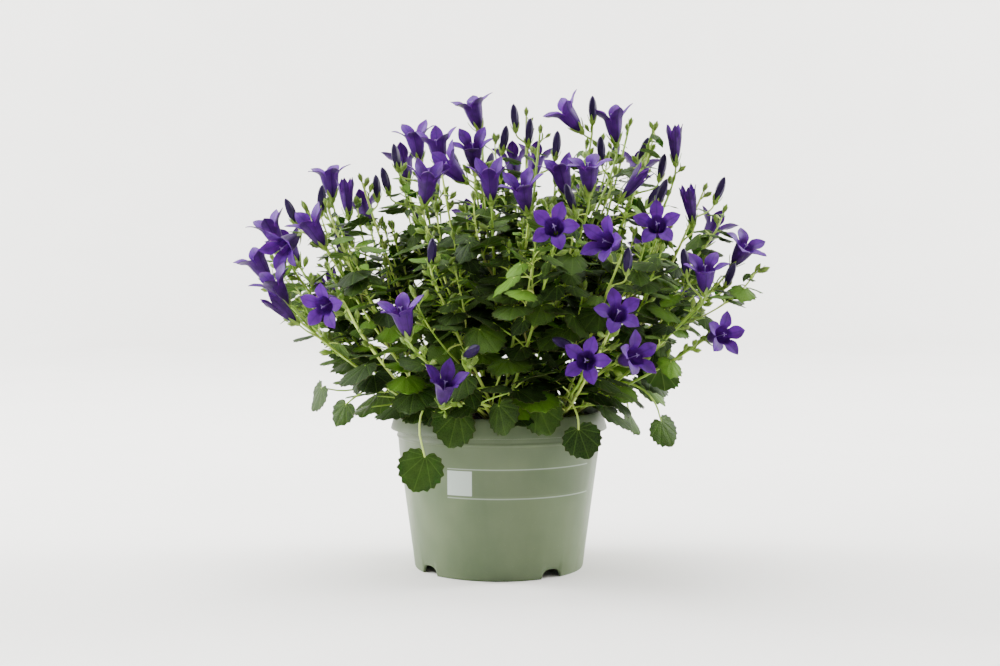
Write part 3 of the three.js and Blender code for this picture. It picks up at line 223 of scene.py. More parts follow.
# Shoots behind, told in the same way
BACK_SHOOTS = [
    ((-116, 33, 168), [(-116, 33, 168, -9, 6, 15, 0.55, 0)]),
    ((-97, 60, 146), [(-97, 60, 146, -7, 9, 11, 0.8, 18)]),
    ((-76, 48, 190), [(-76, 48, 190, -5, 6, 15, 0.6, 0), (-86, 42, 180, -6, 2, 11, 0, 0)]),
    ((-57, 85, 154), [(-57, 85, 154, -5, 13, 8, 0.9, 0)]),
    ((-38, 58, 205), [(-38, 58, 205, -3, 5, 15, 0.7, 24), (-48, 56, 194, -5, 4, 11, 0, 0)]),
    ((-16, 76, 186), [(-16, 76, 186, -1, 9, 12, 0.6, 0)]),
    ((-12, 104, 140), [(-12, 104, 140, 0, 13, 7, 0.85, 10)]),
    ((-14, 38, 232), [(-24, 34, 222, -4, 3, 11, 0, 0), (-7, 42, 221, 3, 4, 11, 0, 0)]),
    ((20, 54, 218), [(20, 54, 218, 2, 5, 15, 0.55, 0)]),
    ((24, 92, 172), [(24, 92, 172, 1, 10, 11, 0.75, 0), (14, 88, 162, -3, 9, 8, 0, 0)]),
    ((50, 64, 200), [(50, 64, 200, 3, 8, 14, 0.6, 12)]),
    ((55, 92, 136), [(55, 92, 136, 5, 12, 7, 0.9, 0)]),
    ((78, 40, 213), [(78, 40, 213, 4, 5, 15, 0.65, 0), (86, 34, 202, 6, 2, 10, 0, 0)]),
    ((82, 72, 166), [(82, 72, 166, 6, 8, 12, 0.7, 6)]),
    ((106, 50, 144), [(106, 50, 144, 9, 7, 10, 0.8, 0)]),
    ((116, 18, 178), [(116, 18, 178, 8, 4, 14, 0.55, 0), (109, 22, 188, 2, 3, 11, 0, 0)]),
    ((58, 18, 236), [(64, 22, 226, 4, 4, 11, 0, 0)]),
    ((-98, 24, 196), [(-92, 28, 184, 0, 6, 11, 0, 0)]),
]

# Leaf stalks that bend out over the rim: the points they pass, their end and their leaf's size
TRAILERS = [
    ([(-33, -49, 98), (-41, -58, 88)], (-38, -62, 68), 19),
    ([(33, -47, 98), (40, -57, 91)], (41, -61, 82), 16),
    ([(1, -50, 99), (1, -60, 100)], (0, -69, 95), 16),
    ([(-18, -54, 98)], (-21, -64, 91), 19),
    ([(16, -56, 98)], (20, -64, 95), 17),
    ([(-60, -22, 104), (-74, -26, 98)], (-82, -30, 92), 13),
    ([(66, -24, 104), (82, -22, 96)], (88, -20, 82), 15),
    ([(-62, 16, 102), (-82, 12, 96)], (-100, 10, 98), 15),
    ([(60, 32, 102), (72, 40, 94)], (76, 43, 82), 16),
    ([(-40, 52, 102), (-48, 62, 93)], (-50, 66, 80), 18),
    ([(8, 54, 99), (10, 65, 94)], (9, 69, 80), 18),
]

UP = np.array([0.0, 0.0, 1.0])


# Vectors and draws

def vec(values):
    return np.array(values, dtype=float)


def length(v):
    return math.sqrt(v[0] * v[0] + v[1] * v[1] + v[2] * v[2])


def unit(v):
    return v * (1 / length(v))


def dot(a, b):
    return float(a[0] * b[0] + a[1] * b[1] + a[2] * b[2])


def radians(degrees):
    return degrees * math.pi / 180


def cross(a, b):
    return np.array([
        a[1] * b[2] - a[2] * b[1],
        a[2] * b[0] - a[0] * b[2],
        a[0] * b[1] - a[1] * b[0],
    ])


def turned(v, axis, degrees):
    """The vector v turned about an axis."""
    a = radians(degrees)
    c = math.cos(a)
    return v * c + cross(axis, v) * math.sin(a) + axis * dot(axis, v) * (1 - c)


def sideways(direction):
    """Two directions square to a given one."""
    first = vec([1, 0, 0]) if abs(direction[2]) > 0.8 else UP
    u = unit(cross(first, direction))
    return u, unit(cross(direction, u))


def spoke(u, v, a):
    """The direction at an angle from u towards v, and the one square to it."""
    return u * math.cos(a) + v * math.sin(a), v * math.cos(a) - u * math.sin(a)


def turns_round(sides):
    """Equal turns round a circle, from 0."""
    return 2 * math.pi * np.arange(sides) / sides


def ring(u, v, turns, radii):
    """Points at the given turns and radii in the plane of u and v."""
    return np.outer(radii * np.cos(turns), u) + np.outer(radii * np.sin(turns), v)


class Draws:
    """Draws between 0 and 1 that come out alike each time."""

    def __init__(self, seed):
        self.state = seed

    def __call__(self):
        self.state = (self.state * 1664525 + 1013904223) % 4294967296
        return self.state / 4294967296

    def between(self, low, high):
        return low + (high - low) * self()


# Clumps and shoots

class Clump:
    def __init__(self, kind, number, middle, half, reach):
        self.kind, self.number = kind, number
        self.node = f"{kind}_shoots_{number}"
        self.middle, self.half = middle, half
        a = radians(middle)
        self.centre = vec([reach * math.cos(a), reach * math.sin(a), CROWN_HEIGHT])
        self.shoots = []

    def depth(self, point):
        """How deep a point lies inside the clump's share of the space."""
        reach = math.hypot(point[0], point[1])
        turn = math.atan2(point[1], point[0]) * 180 / math.pi - self.middle
        off = abs(turn - 360 * math.floor(turn / 360 + 0.5))
        cone = (CONE_SLOPE * (point[2] - CONE_FOOT) - reach) / math.hypot(1, CONE_SLOPE)
        side = reach * math.sin(radians(min(self.half - off, 90)))
        return min(cone if self.kind == "inner" else -cone, side)


class Flower:
    def __init__(self, x, y, z, dx, dy, dz, opening, turn):
        self.base = vec([x, y, z])
        self.axis = unit(vec([dx, dy, dz]))
        self.foot = self.base - self.axis * CALYX_DEPTH
        self.opening, self.turn = opening, radians(turn)
        self.wide = opening > CLOSED_BELOW


class Leaf:
    """A blade on its stalk: where it is rooted, its base, and the way it lies."""


class Shoot:
    def __init__(self, number, tip, flowers=(), via=(), end_leaf=0):
        self.number, self.end_leaf = number, end_leaf
        tip = vec(tip)
        flowers = [Flower(*f) for f in flowers]
        self.last = next((f for f in flowers if length(f.base - tip) < 1), None)
        self.tip = self.last.foot if self.last else tip
        self.flowers = [f for f in flowers if f is not self.last]
        self.via = [vec(p) for p in via]
        self.aim = tip
        self.line, self.branches, self.thickness = None, [], 1
        self.stalked, self.green_buds, self.leaves = [], [], []

    def along(self, t):
        place = min(max(t, 0), 0.9999) * (len(self.line) - 1)
        i = math.floor(place)
        return self.line[i] + (self.line[i + 1] - self.line[i]) * (place - i)

    def way(self, t):
        return unit(self.along(t + 0.03) - self.along(t - 0.03))

    def fine(self, t):
        """A point on the smooth stem, which ends along its flower's axis."""
        last = 1 - 1 / STEM_STEPS
        if t <= last or not self.last:
            return through(self.line, t)
        p, q = self.line[-2:]
        start = (through(self.line, last) - through(self.line, last - 0.01)) / (0.01 * STEM_STEPS)
        end = self.last.axis * length(q - p) * 0.6
        k = (t - last) * STEM_STEPS
        return (
            p * (2 * k**3 - 3 * k**2 + 1) + start * (k**3 - 2 * k**2 + k)
            + q * (3 * k**2 - 2 * k**3) + end * (k**3 - k**2)
        )

    def crowded(self, t, way, space=4):
        """Whether a branch would leave the shoot right beside another one."""
        for other_t, end in self.branches:
            other = unit(end - self.along(other_t))
            if abs(other_t - t) * self.length < space and dot(other, way) > 0:
                return True
        return False


def bezier(points, t):
    """A point on a curve with four handles."""
    p0, p1, p2, p3 = points
    k = 1 - t
    return p0 * (k * k * k) + p1 * (3 * k * k * t) + p2 * (3 * k * t * t) + p3 * (t * t * t)


def curve(handles, steps):
    """A line of points on a curve with four handles."""
    return [bezier(handles, i / steps) for i in range(steps + 1)]


def through(points, t):
    """A point on a smooth curve that runs through all the given points."""
    place = (len(points) - 1) * t
    i = min(math.floor(place), len(points) - 2)
    weight = place - i
    p1, p2 = points[i], points[i + 1]
    p0 = points[i - 1] if i > 0 else p1 * 2 - p2
    p3 = points[i + 2] if i + 2 < len(points) else p2 * 2 - p1
    d0, d1, d2 = (length(a - b) ** 0.5 for a, b in ((p0, p1), (p1, p2), (p2, p3)))
    m1 = ((p1 - p0) / d0 - (p2 - p0) / (d0 + d1) + (p2 - p1) / d1) * d1
    m2 = ((p2 - p1) / d1 - (p3 - p1) / (d1 + d2) + (p3 - p2) / d2) * d1
    c2 = p2 * 3 - p1 * 3 - m1 * 2 - m2
    c3 = p1 * 2 - p2 * 2 + m1 + m2
    return p1 + m1 * weight + c2 * weight**2 + c3 * weight**3


class Space:
    """What already fills the air round the shoots: round bars and flat blades."""

    def __init__(self):
        self.bars = np.zeros((MOST_BARS, 8))
        self.blades = np.zeros((MOST_BLADES, 7))
        self.bar_count = self.blade_count = 0
        self.clearance, self.leaf_share = CLEARANCE, LEAF_SHARE

    def crowd(self, clearance, leaf_share):
        """Lets what grows from now on lie closer together."""
        self.blades[:, 6] *= leaf_share / self.leaf_share
        self.clearance, self.leaf_share = clearance, leaf_share

    def disc_of(self, leaf):
        """A round stand-in for a leaf's blade."""
        centre = leaf.base + leaf.axis * (leaf.size * 0.42) - leaf.normal * (leaf.size * 0.08)
        return centre, leaf.normal, leaf.size * self.leaf_share

    def add_bar(self, a, b, radius, stem_of=-1):
        self.bars[self.bar_count] = [*a, *b, radius, stem_of]
        self.bar_count += 1

    def add_stem(self, shoot, radius):
        """Measures a shoot's stem and fills the air along it."""
        spans = list(zip(shoot.line, shoot.line[1:]))
        shoot.length = sum(length(b - a) for a, b in spans)
        for a, b in spans:
            self.add_bar(a, b, radius, shoot.number)

    def stem_of(self, shoot):
        """Which bars are the stem of a shoot."""
        return self.bars[:self.bar_count, 7] == shoot.number

    def add_blade(self, disc):
        centre, normal, radius = disc
        self.blades[self.blade_count] = [*centre, *normal, radius]
        self.blade_count += 1

    def gaps(self, a, b):
        """Distance from the segment a-b to each bar's surface."""
        bars = self.bars[:self.bar_count]
        u, v, w = b - a, bars[:, 3:6] - bars[:, 0:3], a - bars[:, 0:3]
        uu, uv, vv = dot(u, u), v @ u, (v * v).sum(1)
        uw, vw = w @ u, (v * w).sum(1)
        across = uu * vv - uv * uv
        with np.errstate(divide="ignore", invalid="ignore"):
            s = np.where(across > 1e-9, np.clip((uv * vw - vv * uw) / across, 0, 1), 0)
            t = np.where(vv > 1e-9, np.clip((uv * s + vw) / vv, 0, 1), 0)
        s = np.clip((uv * t - uw) / uu, 0, 1) if uu > 1e-9 else s * 0
        gap = w + u * s[:, None] - v * t[:, None]
        return np.sqrt((gap * gap).sum(1)) - bars[:, 6]

    def blades_meeting(self, disc):
        """Whether any blade crosses the given one or lies closer than the clearance."""
        centre, normal, radius = disc
        others = self.blades[:self.blade_count]
        gap = others[:, 0:3] - centre
        near = np.sqrt((gap * gap).sum(1)) <= radius + others[:, 6]
        for other in others[near]:
            if blades_meet(centre, normal, radius, other[:3], other[3:6], other[6], self.clearance):
                return True
        return False

    def blades_pierced(self, a, b, space):
        """Whether the segment a-b passes within some space of any blade."""
        blades = self.blades[:self.blade_count]
        return hits(a, b, blades[:, :3], blades[:, 3:6], blades[:, 6], space).any()


def hits(a, b, centre, normal, radius, space):
    """Whether segments pass within blades' round outlines, widened by some space."""
    ra = ((a - centre) * normal).sum(-1)
    rb = ((b - centre) * normal).sum(-1)
    way = b - a
    square = (way * way).sum(-1)
    with np.errstate(divide="ignore", invalid="ignore"):
        crossing = np.where(ra * rb < 0, ra / (ra - rb), (np.abs(rb) < np.abs(ra)) * 1.0)
        near = np.where(square > 1e-9, ((centre - a) * way).sum(-1) / square, 0)
    met = np.zeros(np.shape(crossing), bool)
    for t in (crossing, np.clip(near, 0, 1)):
        p = a + way * np.asarray(t)[..., None]
        lift = ((p - centre) * normal).sum(-1)
        reach = ((p - centre) ** 2).sum(-1)
        off = np.sqrt(np.maximum(reach - lift * lift, 0))
        met |= (np.abs(lift) < space) & (off < radius + space)
    return met


def blades_meet(c1, n1, r1, c2, n2, r2, clearance):
    """Whether two round blades cross or lie closer than the clearance."""
    gap = c2 - c1
    line = cross(n1, n2)
    if length(line) < 0.35 or abs(dot(gap, n1)) < 2 * clearance:
        return abs(dot(gap, n1)) < 3.5 * clearance
    size = dot(line, line)
    origin = cross(n2, line) * (dot(c1, n1) / size) + cross(line, n1) * (dot(c2, n2) / size)
    line = unit(line)
    spans = []
    for centre, radius in ((c1, r1), (c2, r2)):
        way = centre - origin
        middle = dot(way, line)
        half = math.sqrt(max(radius * radius - (dot(way, way) - middle * middle), 0))
        if half <= 0:
            return False
        spans.append((middle - half, middle + half))
    return spans[0][0] < spans[1][1] and spans[1][0] < spans[0][1]


def outward_of(point, clump):
    flat = vec([point[0], point[1], 0])
    if length(flat) < 20:
        flat = clump.centre * [1, 1, 0]
    return unit(flat)


def crown_seats(centre):
    """The outer faces of a crown's low dome, in the order its solid has them."""
    x, y, _ = centre
    n = CROWN_SIDES

    def level(z, r):
        turns = (2 * math.pi * k / n for k in range(n))
        return [vec([x + r * math.cos(a), y + r * math.sin(a), z]) for a in turns]

    edge = level(CROWN_HEIGHT, CROWN_RADIUS)
    shoulder = level(CROWN_HEIGHT + CROWN_RISE * 0.7, CROWN_RADIUS * 0.62)
    apex = vec([x, y, CROWN_HEIGHT + CROWN_RISE])
    back = sum(length(edge[(k + 1) % n] - shoulder[k]) for k in range(n))
    ahead = sum(length(edge[k] - shoulder[(k + 1) % n]) for k in range(n))
    faces = []
    for k in range(n):
        j = (k + 1) % n
        if back <= ahead:
            faces += [(edge[k], edge[j], shoulder[k]), (edge[j], shoulder[j], shoulder[k])]
        else:
            faces += [(edge[k], edge[j], shoulder[j]), (edge[k], shoulder[j], shoulder[k])]
    faces += [(shoulder[k], shoulder[(k + 1) % n], apex) for k in range(n)]
    return faces


class Plant:
    """The whole plant as lines, branches and leaf places, before anything is given a shape."""

    def __init__(self, leaf_rounds):
        self.clumps = [
            Clump(kind, k + 1, FIRST_SLICE + 360 * k / slices, 180 / slices, reach)
            for kind, slices, reach in (
                ("inner", INNER_SLICES, INNER_CROWN_REACH),
                ("outer", OUTER_SLICES, OUTER_CROWN_REACH),
            )
            for k in range(slices)
        ]
        rows = [dict(tip=tip, flowers=flowers) for tip, flowers in FRONT_SHOOTS + BACK_SHOOTS]
        rows += [dict(via=via, tip=tip, end_leaf=leaf) for via, tip, leaf in TRAILERS]
        self.shoots = [Shoot(number, **row) for number, row in enumerate(rows)]
        for shoot in self.shoots:
            shoot.clump = max(self.clumps, key=lambda clump: clump.depth(shoot.aim))
            shoot.clump.shoots.append(shoot)
        self.space = Space()
        self.set_guards()
        for clump in self.clumps:
            self.seat(clump)
        self.spread_stems()
        for shoot in self.shoots:
            self.space.add_stem(shoot, STEM_RADIUS)
        for shoot in self.shoots:
            self.branch_flowers(shoot)
        for shoot in self.shoots:
            if shoot.end_leaf > 0:
                self.space.add_blade(self.space.disc_of(self.end_leaf_of(shoot)))
        self.grow_leaves(SEED, *LARGE_LEAVES)
        self.space.crowd(FINE_CLEARANCE, FINE_LEAF_SHARE)
        self.grow_side_shoots()
        for extra, values in enumerate(LEAF_ROUNDS[:leaf_rounds]):
            self.grow_leaves(FINE_LEAF_SEED + extra, *values)
        self.grow_buds()
        for shoot in self.shoots:
            if shoot.end_leaf > 0:
                shoot.leaves.append(self.end_leaf_of(shoot))

    def set_guards(self):
        """Round spaces that cover the open flowers."""
        self.guards = []
        for shoot in self.shoots:
            for flower in [*shoot.flowers, shoot.last]:
                if flower is None or not flower.wide:
                    continue
                for height, radius in ((3, 4.6), (9, 6.6), (15, 6 + 5.5 * flower.opening)):
                    centre = flower.base + flower.axis * height
                    self.guards.append((centre, radius, flower))
                    self.space.add_bar(centre, centre, radius)

    def pushed_clear(self, point, shoot, space):
        for centre, radius, flower in self.guards:
            if flower is shoot.last:
                continue
            away = point - centre
            if length(away) < radius + space:
                point = centre + unit(away) * (radius + space)
        return point

    def seat(self, clump):
        """Each shoot starts on the face of the crown that looks its way, then bends up."""
        wishes = []
        seats = crown_seats(clump.centre)
        normals = [unit(cross(q - p, r - p)) for p, q, r in seats]
        for shoot in clump.shoots:
            target = shoot.via[0] if shoot.via else shoot.tip
            way = unit(target - clump.centre)
            wishes += [(dot(normal, way), shoot, k) for k, normal in enumerate(normals)]
        taken = set()
        for _, shoot, k in sorted(wishes, key=lambda wish: -wish[0]):
            if shoot.line is None and k not in taken:
                taken.add(k)
                start = sum(seats[k]) / 3
                self.draw_line(shoot, start, start + normals[k] * SEAT_RISE)

    def draw_line(self, shoot, start, rise):
        if shoot.via:
            points = [start, rise, *shoot.via, shoot.tip]
            line = [through(points, i / STEM_STEPS) for i in range(STEM_STEPS + 1)]
        else:
            bend = rise + (shoot.tip - rise) * 0.55
            bend[2] = max(rise[2] + 0.4 * (shoot.tip[2] - rise[2]), min(104, shoot.tip[2] + 6))
            line = curve((start, rise, bend, shoot.tip), STEM_STEPS)
        for i in range(1, STEM_STEPS):
            line[i] = self.pushed_clear(line[i], shoot, 1.5)
        shoot.line = line

    def spread_stems(self):
        """Bends stems that would touch apart, a little each round."""
        lines = [[list(map(float, p)) for p in shoot.line] for shoot in self.shoots]
        boxes = [box_of(line) for line in lines]
        for _ in range(SPREAD_ROUNDS):
            for n, p in enumerate(lines):
                for m in range(n + 1, len(lines)):
                    q = lines[m]
                    if boxes_apart(boxes[n], boxes[m]):
                        continue
                    if spread_pair(p, q):
                        boxes[n], boxes[m] = box_of(p), box_of(q)
        for shoot, line in zip(self.shoots, lines):
            shoot.line = [vec(p) for p in line]

    def branch_flowers(self, shoot):
        """Stalked flowers and small buds that stand out from the side of a shoot."""
        for flower in shoot.flowers:
            def cost(t):
                q = shoot.along(t)
                return length(q - flower.foot) + 1.2 * abs(flower.foot[2] - q[2] - 8)

            best, t = 0.4, 0.4
            while t < 0.97:
                best = t if cost(t) < cost(best) else best
                t += 0.02
            shoot.branches.append((best, flower.foot))
            shoot.stalked.append((best, flower))
            self.space.add_bar(shoot.along(best), flower.foot, STALK_RADIUS)
            if not flower.wide:
                self.space.add_bar(flower.base, flower.base + flower.axis * 12, 2.2)
        draw = Draws(SEED + shoot.number)
        for k in range(0 if shoot.end_leaf > 0 else SIDE_BUDS):
            t = 0.93 - 0.1 * k - 0.03 * draw()
            stem_way = shoot.way(t)
            side = turned(sideways(stem_way)[0], stem_way, GOLDEN_ANGLE * k + 360 * draw())
            self.add_bud(shoot, t, unit(stem_way * 0.7 + side), 3 + 1.5 * k, 1, 2.2, 4, 1.5)

    def add_bud(self, shoot, t, way, stalk, size, gap, apart, radius):
        """A small green bud on its stalk, unless something stands in its way."""
        root = shoot.along(t)
        end = root + way * stalk
        tip = end + way * GREEN_BUD_LENGTH * size
        clear = self.space.stem_of(shoot) | (self.space.gaps(end, tip) > gap)
        if clear.all() and not shoot.crowded(t, way, apart):
            shoot.branches.append((t, end))
            shoot.green_buds.append((t, end, way, size))
            self.space.add_bar(root, tip, radius)

    def leaf_fits(self, leaf, shoot, apart):
        """Whether a leaf keeps clear of the pot, the stems, the flowers and other leaves."""
        across = cross(leaf.normal, leaf.axis)
        for x, y in ((0, 0), (0.5, 0.1), (-0.5, 0.1), (0.4, 0.6), (-0.4, 0.6), (0, 1)):
            p = leaf.base + across * (leaf.size * x) + leaf.axis * (leaf.size * y)
            above = p[2] - 0.3 * leaf.size * 0.5 > POT_HEIGHT + 1
            if not above and not math.hypot(p[0], p[1]) > SKIRT_RADIUS + 2:
                return False
        if abs(dot(leaf.way, leaf.stem_way)) > 0.88 or shoot.crowded(leaf.t, leaf.way, apart):
            return False
        start, space, clearance = leaf.root + leaf.way * 3, self.space, self.space.clearance
        bars = space.bars[:space.bar_count]
        if not (space.stem_of(shoot) | (space.gaps(start, leaf.base) > clearance)).all():
            return False
        disc = space.disc_of(leaf)
        return not (
            hits(bars[:, :3], bars[:, 3:6], *disc, bars[:, 6] + clearance).any()
            or space.blades_pierced(start, leaf.base, 1.5 * clearance)
            or space.blades_meeting(disc)
        )

    @staticmethod
    def leaf_from(shoot, t, turn, stalk, size, rise, draw):
        """A leaf on a stalk that leaves a shoot sideways from the outward direction."""
        leaf = Leaf()
        leaf.t, leaf.shoot, leaf.size = t, shoot, size
        leaf.root = shoot.along(t)
        outward = outward_of(leaf.root, shoot.clump)
        side = turned(outward, UP, turn)

        def raised(angle):
            a = radians(angle)
            return vec([side[0] * math.cos(a), side[1] * math.cos(a), math.sin(a)])

        leaf.way = raised(rise)
        fall = rise - 10 - 50 * draw()
        leaf.axis = raised(fall)
        facing = raised(fall + 90) + outward * (0.6 * draw())
        leaf.normal = unit(facing - leaf.axis * dot(facing, leaf.axis))
        leaf.base = leaf.root + leaf.way * stalk
        leaf.droop = 0.05 + 0.12 * draw()
        leaf.stem_way = shoot.way(t)
        return leaf

    def grow_leaves(self, seed, turns, span, stalks, sizes, attempts, apart, above, thickness):
        """Leaves from the foot of each shoot upward: long stalks below, small blades above."""
        draw = Draws(seed)
        for number, spread in enumerate(turns):
            for shoot in self.shoots:
                if shoot.end_leaf > 0 or shoot.tip[2] < above or shoot.thickness < thickness:
                    continue
                for _ in range(attempts):
                    t = span[0] + (span[1] - span[0]) * ((number + draw()) / len(turns))
                    turn = (1 if draw() < 0.5 else -1) * (15 + spread * draw())
                    stalk = (stalks[0] + (stalks[1] - stalks[0]) * t) * (0.6 + 0.8 * draw())
                    size = (sizes[0] + (sizes[1] - sizes[0]) * t) * (0.85 + 0.3 * draw())
                    leaf = self.leaf_from(shoot, t, turn, stalk, size, 50 * draw(), draw)
                    if self.leaf_fits(leaf, shoot, apart):
                        shoot.branches.append((t, leaf.base))
                        self.space.add_bar(leaf.root, leaf.base, STALK_RADIUS)
                        self.space.add_blade(self.space.disc_of(leaf))
                        shoot.leaves.append(leaf)
                        break

    @staticmethod
    def end_leaf_of(shoot):
        """The leaf at the end of a stalk over the rim, which hangs down and faces outward."""
        leaf = Leaf()
        outward = outward_of(shoot.tip, shoot.clump)
        leaf.axis = unit(vec([outward[0] * 0.5, outward[1] * 0.5, -1]))
        facing = vec([outward[0], outward[1], 0.35])
        leaf.normal = unit(facing - leaf.axis * dot(facing, leaf.axis))
        leaf.base, leaf.size, leaf.droop = shoot.tip, shoot.end_leaf, 0.05
        leaf.shoot, leaf.t, leaf.way = shoot, 1, None
        return leaf

    def grow_side_shoots(self):
        """Thin shoots that fork from the tall ones and fill the head of the plant."""
        for parent in list(self.shoots):
            if parent.tip[2] < FORKS_ABOVE:
                continue
            draw = Draws(SIDE_SHOOT_SEED + parent.number)
            for _ in range(SIDE_SHOOTS):
                for _ in range(SIDE_SHOOT_TRIES):
                    t = draw.between(0.42, 0.8)
                    root, stem_way = parent.fine(t), parent.way(t)
                    side = turned(sideways(stem_way)[0], stem_way, 360 * draw())
                    tip = root + stem_way * draw.between(26, 60)
                    tip = tip + side * draw.between(6, 18) + UP * 5
                    rise, bend = root + (stem_way + side) * 7, tip - (stem_way + UP) * 8
                    line = curve((root, rise, bend, tip), STEM_STEPS)
                    if tip[2] < parent.tip[2] + 4 and self.line_fits(line, parent):
                        shoot = Shoot(len(self.shoots), tip)
                        shoot.clump, shoot.line = parent.clump, line
                        shoot.thickness = SIDE_SHOOT_THICKNESS
                        parent.branches.append((t, line[1]))
                        parent.clump.shoots.append(shoot)
                        self.shoots.append(shoot)
                        self.space.add_stem(shoot, SIDE_SHOOT_RADIUS)
                        break

    def line_fits(self, line, parent):
        """Whether a side shoot keeps clear of everything but the shoot that it forks from."""
        own = self.space.stem_of(parent)
        return all(
            ((own & (i < 2)) | (self.space.gaps(a, b) > 1.4)).all()
            and not self.space.blades_pierced(a, b, 1)
            for i, (a, b) in enumerate(zip(line, line[1:]))
        )

    def grow_buds(self):
        """More small buds up each shoot, on short stalks, as the true plant has them."""
        for shoot in self.shoots:
            if shoot.end_leaf > 0:
                continue
            draw = Draws(BUD_SEED + shoot.number)
            for k in range(min(BUDS_UP_SHOOT, int(shoot.length / BUD_SPACING))):
                t = 0.985 - 0.028 * k / shoot.thickness - 0.012 * draw()
                stem_way = shoot.way(t)
                side = turned(sideways(stem_way)[0], stem_way, GOLDEN_ANGLE * k + 360 * draw())
                way = unit(stem_way * draw.between(0.9, 1.5) + side)
                size = draw.between(0.6, 1.15)
                self.add_bud(shoot, t, way, draw.between(1, 4.5), size, 0.6, 2.2, 1.3)


def box_of(line):
    xs, ys, zs = zip(*line)
    return min(xs), min(ys), min(zs), max(xs), max(ys), max(zs)


def boxes_apart(a, b):
    s = STEM_SPACE
    return (
        a[0] > b[3] + s or b[0] > a[3] + s
        or a[1] > b[4] + s or b[1] > a[4] + s
        or a[2] > b[5] + s or b[2] > a[5] + s
    )


def nearest(a, b, c, d):
    """Where two segments come nearest: how far along each, and the vector between."""
    ux, uy, uz = b[0] - a[0], b[1] - a[1], b[2] - a[2]
    vx, vy, vz = d[0] - c[0], d[1] - c[1], d[2] - c[2]
    wx, wy, wz = a[0] - c[0], a[1] - c[1], a[2] - c[2]
    uu, uv = ux * ux + uy * uy + uz * uz, ux * vx + uy * vy + uz * vz
    uw, vw = ux * wx + uy * wy + uz * wz, vx * wx + vy * wy + vz * wz
    vv = vx * vx + vy * vy + vz * vz
    across = uu * vv - uv * uv
    s = min(max((uv * vw - vv * uw) / across, 0), 1) if across > 1e-9 else 0
    t = min(max((uv * s + vw) / vv, 0), 1) if vv > 1e-9 else 0
    s = min(max((uv * t - uw) / uu, 0), 1) if uu > 1e-9 else 0
    return s, t, (wx + ux * s - vx * t, wy + uy * s - vy * t, wz + uz * s - vz * t)


def spread_pair(p, q):
    """Moves two stems' points apart where they come too near; says whether it did."""
    moved = False
    for i in range(STEM_STEPS):
        for j in range(STEM_STEPS):
            s, t, gap = nearest(p[i], p[i + 1], q[j], q[j + 1])
            away = math.sqrt(gap[0] * gap[0] + gap[1] * gap[1] + gap[2] * gap[2])
            if away < STEM_SPACE and i + j + s + t > 0.5:
                moved = True
                scale = (STEM_SPACE - away) * 0.6
                push = [g / max(away, 0.01) * scale for g in gap]
                for line, k, share in ((p, i, 1 - s), (p, i + 1, s), (q, j, t - 1), (q, j + 1, -t)):
                    if 0 < k < STEM_STEPS:
                        line[k] = [line[k][n] + push[n] * share for n in range(3)]
    return moved


# Surfaces

